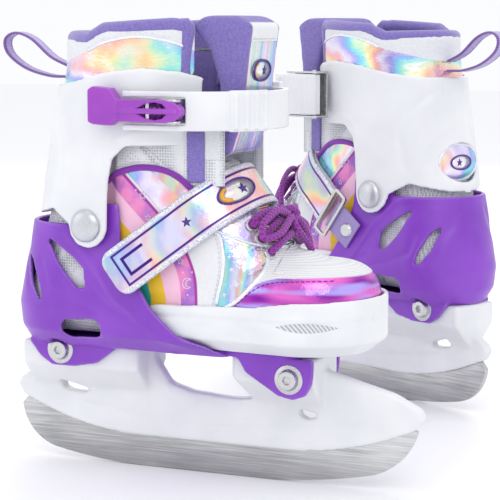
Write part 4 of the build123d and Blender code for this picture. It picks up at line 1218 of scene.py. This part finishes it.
# ------------------------------------------------------------------ collar
# Padded collar inside the cuff: lilac fleece lining and rolled edge, hologram side with pale leather above a
# stitched seam.
collar_mesh = with_lining(moulded(local_copy("collar"), 1.8, 14), -45)
collar_surface = surface_of(collar_mesh)
COLLAR_SEAM = [(-92, 240), (-75, 246), (-61, 250), (-48, 255), (-28, 258), (-9, 255), (3, 249), (12, 241),
               (18, 234)]
collar_paint, tree, shader, spot = new_material("collar_cloth", Sheen_Weight=0.2)
axes = add_node(tree, "ShaderNodeSeparateXYZ", {0: spot})
foil = foil_node(tree, add_node(tree, "ShaderNodeVectorMath", {0: spot, 1: (0.55, 0.55, 1.1)},
                                operation="MULTIPLY").outputs[0], 0.75)
leather = mix_colour(tree, noise_at(tree, spot, 0.5, 4), (0.66, 0.67, 0.70), (0.80, 0.81, 0.83))
seam_here = past(tree, axes.outputs["Z"], edge_through(tree, axes.outputs["X"], COLLAR_SEAM, -120.0, 300.0))
colour = mix_colour(tree, seam_here, foil.outputs["Color"], leather)
lining = add_node(tree, "ShaderNodeAttribute", attribute_name="lining").outputs["Fac"]
colour = mix_colour(tree, lining, colour, fleece_colour(tree, spot))
tree.links.new(colour, shader.inputs["Base Color"])
shiny = both(tree, opposite(tree, lining), opposite(tree, seam_here))
tree.links.new(maths(tree, "MULTIPLY", shiny, 0.75), shader.inputs["Metallic"])
tree.links.new(maths(tree, "MULTIPLY_ADD", shiny, -0.5, 0.72), shader.inputs["Roughness"])
relief = maths(tree, "ADD", maths(tree, "MULTIPLY", foil.outputs["Height"], 1.2),
               maths(tree, "MULTIPLY", lining, noise_at(tree, spot, 1.1, 4, 0.7)))
bump(tree, shader, relief, 1.0, 0.8)
for piece in place_piece("collar", collar_mesh, collar_paint, "cuff", ["collar"]):
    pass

COLLAR_TOP = [(-92, 259), (-76, 258.5), (-62, 258), (-50, 263.5), (-10, 266), (2, 264), (12, 252), (18, 245),
              (20, 238)]


def rolled_edge():
    """Middle line of the collar's top edge, from one front edge round the back to the other."""
    turns = np.radians(np.linspace(27, 333, 70))
    top_x, top_z = zip(*COLLAR_TOP)
    line = []
    for turn in turns:
        way = Vector((math.cos(turn), math.sin(turn), 0))
        height = 236.0
        for _ in range(3):
            base = Vector((-42, 0, height - 6))
            inner = collar_surface.ray_cast(base, way)[0]
            outer = collar_surface.ray_cast(base + way * 200, -way)[0]
            if inner is None or outer is None:
                break
            middle = (inner + outer) / 2
            height = float(np.interp(middle.x, top_x, top_z))
        else:
            line.append(Vector((middle.x, middle.y, height - 1.5)))
    return line


edge_line = rolled_edge()
for end, place in ((0, edge_line[0]), (-1, edge_line[-1])):
    drop = [Vector((place.x - 1.5, place.y, place.z - 14)), Vector((place.x - 2.5, place.y, place.z - 34))]
    edge_line = drop[::-1] + edge_line if end == 0 else edge_line + drop
fleece_paint = soft_paint("fleece_lilac", (0.15, 0.11, 0.38), (0.27, 0.21, 0.56), 0.9, 0.9, 0.7, Sheen_Weight=0.5)
for piece in place_piece("collar_roll", swept(smooth_path(edge_line, 2), round_section(4.3, 4.3, 14)), fleece_paint,
                         "cuff", ()):
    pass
collar_seams = []
for end in (-1, 1):
    collar_seams.append(line_on(collar_surface, COLLAR_SEAM[2:-2], end, 0.9, 0.5, 0.2))
    above_seam = [(x, z + 2.4) for x, z in COLLAR_SEAM[2:-3]]
    collar_seams.append(dashes_on(collar_surface, above_seam, end, 1.8, 1.0, 0.3, 0.1))
place_piece("collar_seam", joined(*collar_seams), silver_foil, "cuff", ())

# ------------------------------------------------------------------ side gussets
# Mesh gussets join the quarter to the tongue under the cuff, with a lilac binding and a white one.
def gusset_point(x, z, end):
    """Place on a gusset, which leans in towards the tongue."""
    share = min(1.0, max(0.0, (x + 30) / 60))
    return Vector((x, end * (33.6 - 7.5 * share ** 2), z))


def gusset_strip(rear, front, low, high, lift, thick):
    """Curved strip of a gusset on both sides of the boot."""
    strips = []
    for end in (-1, 1):
        line = [gusset_point(x, (low + high) / 2, end) + Vector((0, end * lift, 0))
                for x in np.linspace(rear, front, 12)]
        strips.append(swept(line, flat_section(high - low, thick, 10), (0, 0, 1)))
    return joined(*strips)


gusset_paint, tree, shader, spot = new_material("gusset_mesh", Roughness=0.7)
holes = cells(tree, spot, 0.62, 0.15, 0.5)
tree.links.new(mix_colour(tree, holes, (0.42, 0.43, 0.46), (0.74, 0.75, 0.77)), shader.inputs["Base Color"])
bump(tree, shader, holes, 0.5, 0.6)
place_piece("gusset", gusset_strip(-46, 20, 174, 208, 0, 1.2), gusset_paint, "base", ())
binding_white = soft_paint("binding_white", (0.62, 0.63, 0.66), (0.76, 0.77, 0.79), 0.7, 1.2, 0.2)
place_piece("gusset_facing", gusset_strip(9, 18, 189, 208.5, 0.7, 1.4), binding_white, "base", ())
binding_lilac = soft_paint("binding_lilac", (0.15, 0.11, 0.38), (0.27, 0.21, 0.56), 0.85, 0.9, 0.5,
                           Sheen_Weight=0.4)
place_piece("gusset_binding", gusset_strip(-1, 9, 176, 205, 0.9, 2.0), binding_lilac, "base", ())

# ------------------------------------------------------------------ pull loop
# Loop of striped ribbon sewn to the back of the collar, for pulling the boot on.
ribbon_paint, tree, shader, spot = new_material("ribbon_stripe", Roughness=0.75, Sheen_Weight=0.3)
band_place = add_node(tree, "ShaderNodeAttribute", attribute_name="band_mm").outputs["Vector"]
band_axes = add_node(tree, "ShaderNodeSeparateXYZ", {0: band_place})
rim_here = past(tree, maths(tree, "ABSOLUTE", band_axes.outputs["Y"]), 2.9, 0.15)
weave = maths(tree, "SINE", maths(tree, "MULTIPLY", band_axes.outputs["X"], 5.5))
ribbon = mix_colour(tree, rim_here, (0.42, 0.34, 0.66), (0.12, 0.015, 0.26))
shade = mix_colour(tree, spread(tree, weave, -1, 1, 0, 0.25), ribbon, (0.75, 0.7, 0.9))
tree.links.new(shade, shader.inputs["Base Color"])
bump(tree, shader, weave, 0.15, 0.6)
loop_path = smooth_path([(-93, 0, 234), (-106, 0, 234.5), (-122, 0, 239), (-134, 0, 247.5), (-136, 0, 256),
                         (-129, 0, 260), (-118, 0, 256.5), (-105, 0, 246), (-93, 0, 240.5)], 1.0)
place_piece("pull_loop", swept(loop_path, flat_section(9.4, 1.5, 6), (0, 1, 0)), ribbon_paint, "cuff",
            ["pull_loop"])

# ------------------------------------------------------------------ footbed
# Cushioned insole with a lilac cloth top.
for piece in place_piece("footbed", moulded(local_copy("footbed"), 1.2, 6), fleece_paint, "base", ["footbed"]):
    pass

# ------------------------------------------------------------------ heel patch
# Bulging hologram patch on the back of the boot, seen through the cuff's rear window, with a glitter rim and a
# plain oval badge.
ball = bmesh.new()
bmesh.ops.create_uvsphere(ball, u_segments=40, v_segments=24, radius=1)
heel_patch = bpy.data.meshes.new("heel_patch")
ball.to_mesh(heel_patch)
ball.free()
HEEL_MIDDLE = (-95, 0, 172)
HEEL_BULGE, HEEL_HALF_WIDE, HEEL_HALF_HIGH = 8.6, 24, 17
heel_patch.transform(Matrix.Translation(HEEL_MIDDLE)
                     @ Matrix.Diagonal((HEEL_BULGE, HEEL_HALF_WIDE, HEEL_HALF_HIGH, 1)))
patch_foil = foil_paint("heel_patch_foil", 0.25)
place_piece("heel_patch", heel_patch, patch_foil, "base", ())


def on_heel(across, up, lift):
    """Point on the back of the heel patch."""
    share = max(0.0, 1 - (across / HEEL_HALF_WIDE) ** 2 - (up / HEEL_HALF_HIGH) ** 2)
    return Vector((HEEL_MIDDLE[0] - HEEL_BULGE * math.sqrt(share) - lift, across, HEEL_MIDDLE[2] + up))


place_piece("heel_badge", plate(on_heel, oval(10, 5), 0, 0.5), badge_silver, "base", ())
heel_star = plate(lambda u, v, lift: on_heel(2.5 + u, v, lift), star_outline(2.8), 0.5, 0.25)
heel_rim = rim_round(on_heel, 10, 5, 0.5, 0.6, 0.45, 36)
place_piece("heel_badge_rim", joined(heel_rim, heel_star), ink, "base", ())
glitter_ring = rim_round(on_heel, 19.5, 12.5, 0.1, 1.3, 0.8)
place_piece("heel_glitter_ring", glitter_ring, silver_foil, "base", ())

# ------------------------------------------------------------------ cuff
# White moulded cuff that tilts on two buttons at the ankle.
cuff_paint = plastic("cuff_white", (0.73, 0.74, 0.765), (0.80, 0.81, 0.83), 0.3)
cuff_mesh = moulded(local_copy("cuff"), 1.1, 12)
press_line(cuff_mesh, [(-99, 226), (-92, 218), (-84, 206), (-80, 190), (-82, 174), (-86, 164)], 2.5, 0.7)
press_line(cuff_mesh, [(-44, 158), (-50, 174), (-49, 189), (-42, 200), (-28, 204), (8, 207)], 2.2, -0.5)
place_piece("cuff", cuff_mesh, cuff_paint, "cuff", ["cuff"])

# ------------------------------------------------------------------ ankle buttons
# Domed, satin-plated buttons that the cuff tilts on.
BUTTON = [(0, 3.9), (3, 3.8), (5.5, 3.4), (7.4, 2.6), (8.7, 1.5), (9.4, 0.5), (9.5, 0.0), (9.5, -0.3),
          (4, -0.3), (4, -8), (0, -8)]
buttons = [turned(BUTTON, (-60, end * 45.6, 150), end) for end in (-1, 1)]
button_paint, tree, shader, spot = new_material("button_satin", Metallic=0.85)
brushed = noise_at(tree, spot, 0.8, 4, 0.6)
tree.links.new(mix_colour(tree, brushed, (0.50, 0.51, 0.54), (0.70, 0.71, 0.74)), shader.inputs["Base Color"])
tree.links.new(maths(tree, "MULTIPLY_ADD", brushed, 0.2, 0.25), shader.inputs["Roughness"])
bump(tree, shader, brushed, 0.05, 0.5)
place_piece("ankle_buttons", joined(*buttons), button_paint, "cuff", ["ankle_rivets"])

# ------------------------------------------------------------------ cam lever
# Purple lever with a broad finger pad at the rear, a rounded nose, a ridge along it and two slots beside the
# ridge that show the metal catch.
lever_paint = plastic("lever_purple", (0.29, 0.042, 0.44), (0.36, 0.06, 0.52), 0.32, 1.8)
lever_mesh = joined(
    side_prism([(-42, 209.6), (-34, 211), (-4, 210.6), (2, 212.2), (5.4, 215.4), (5.4, 218.6), (2, 221.8),
                (-4, 223.4), (-34, 223.6), (-42, 227)], -49, -55.6),
    side_prism([(-52, 210.6), (-49, 209.2), (-38, 208.6), (-34, 212), (-33, 222.6), (-38, 229.6), (-49, 230.6),
                (-52, 228.6)], -49, -57),
    side_prism([(-40, 216), (3, 216), (3, 218.2), (-40, 218.2)], -54, -56.8))
lever_mesh = moulded(lever_mesh, 0.55, 7)
upper_slot = [(-22, 218.6), (-17, 221.2), (-11, 222.2), (-6, 221.2), (-3, 218.6)]
lower_slot = [(-3, 215.6), (-6, 213), (-11, 212), (-17, 213), (-22, 215.6)]
for slot_line in (upper_slot, lower_slot):
    lever_mesh = cut_away(lever_mesh, side_prism(slot_line, -51.5, -60))
place_piece("buckle_lever", lever_mesh, lever_paint, "buckle_lever_body", ["buckle_lever"])
dark_metal, tree, shader, spot = new_material("catch_steel", Metallic=1.0)
wear = noise_at(tree, spot, 0.9, 4, 0.7)
tree.links.new(mix_colour(tree, wear, (0.08, 0.08, 0.09), (0.35, 0.35, 0.37)), shader.inputs["Base Color"])
tree.links.new(maths(tree, "MULTIPLY_ADD", wear, 0.3, 0.2), shader.inputs["Roughness"])
bump(tree, shader, wear, 0.1, 0.5)
catch = joined(*[side_prism([(x, 212.4), (x + 1.6, 212.4), (x + 1.6, 221.8), (x, 221.8)], -51.4, -52.6)
                 for x in (-20, -16.5, -13, -9.5, -6)])
place_piece("lever_catch", catch, dark_metal, "buckle_lever_body", ())
metal_piece("strap_pin", "buckle_lever_body", METAL_EDGE)
metal_piece("buckle_base", "cuff")
metal_piece("buckle_pins", "cuff", METAL_EDGE)
metal_piece("cuff_rivets", "cuff")

# ------------------------------------------------------------------ strap arm
# White moulded arm, forked round the lever, wrapped round the front, with a ribbed grip block.
arm_shape = local_copy("buckle_strap")
arm_surface = surface_of(arm_shape.copy())


def on_arm(turn, height):
    """Point on the outside of the strap arm, in a direction from the middle of the leg."""
    way = Vector((math.cos(turn), math.sin(turn), 0))
    return arm_surface.ray_cast(Vector((0, 0, height)) + way * 200, -way)[0]


grip_turns = np.radians(np.linspace(-54, -22, 9))
grip_parts = [arm_shape, swept([on_arm(turn, 217) for turn in grip_turns], flat_section(23.4, 2.6, 4), (0, 0, 1))]
for turn in grip_turns[1:8:2]:
    spot_low, spot_high = on_arm(turn, 207), on_arm(turn, 227)
    outward = Vector((math.cos(turn), math.sin(turn), 0)) * 1.5
    grip_parts.append(swept([spot_low + outward, (spot_low + spot_high) / 2 + outward, spot_high + outward],
                            round_section(1.5, 1.5, 10)))
arm_mesh = moulded(joined(*grip_parts), 0.6, 2)
place_piece("buckle_strap", arm_mesh, cuff_paint, "buckle_strap_body", ["buckle_strap"])

# ------------------------------------------------------------------ ratchet
# White ribbed ratchet lever in a pressed metal frame, on the inner side of the cuff.
ratchet_parts = [local_copy("ratchet_lever")]
for x in (-12, -7.5, -3, 1.5, 6, 10.5, 15):
    ratchet_parts.append(swept([(x, 59.8, 205), (x, 59.8, 217), (x, 59.8, 229)], round_section(1.0, 1.0, 8)))
place_piece("ratchet_lever", moulded(joined(*ratchet_parts), 0.6, 4), cuff_paint, "ratchet_lever_body",
            ["ratchet_lever"])
metal_piece("ratchet_frame", "cuff", METAL_EDGE)

size = {"cad": [list(cad_low), list(cad_high)], "scene": [list(corner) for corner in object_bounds()]}
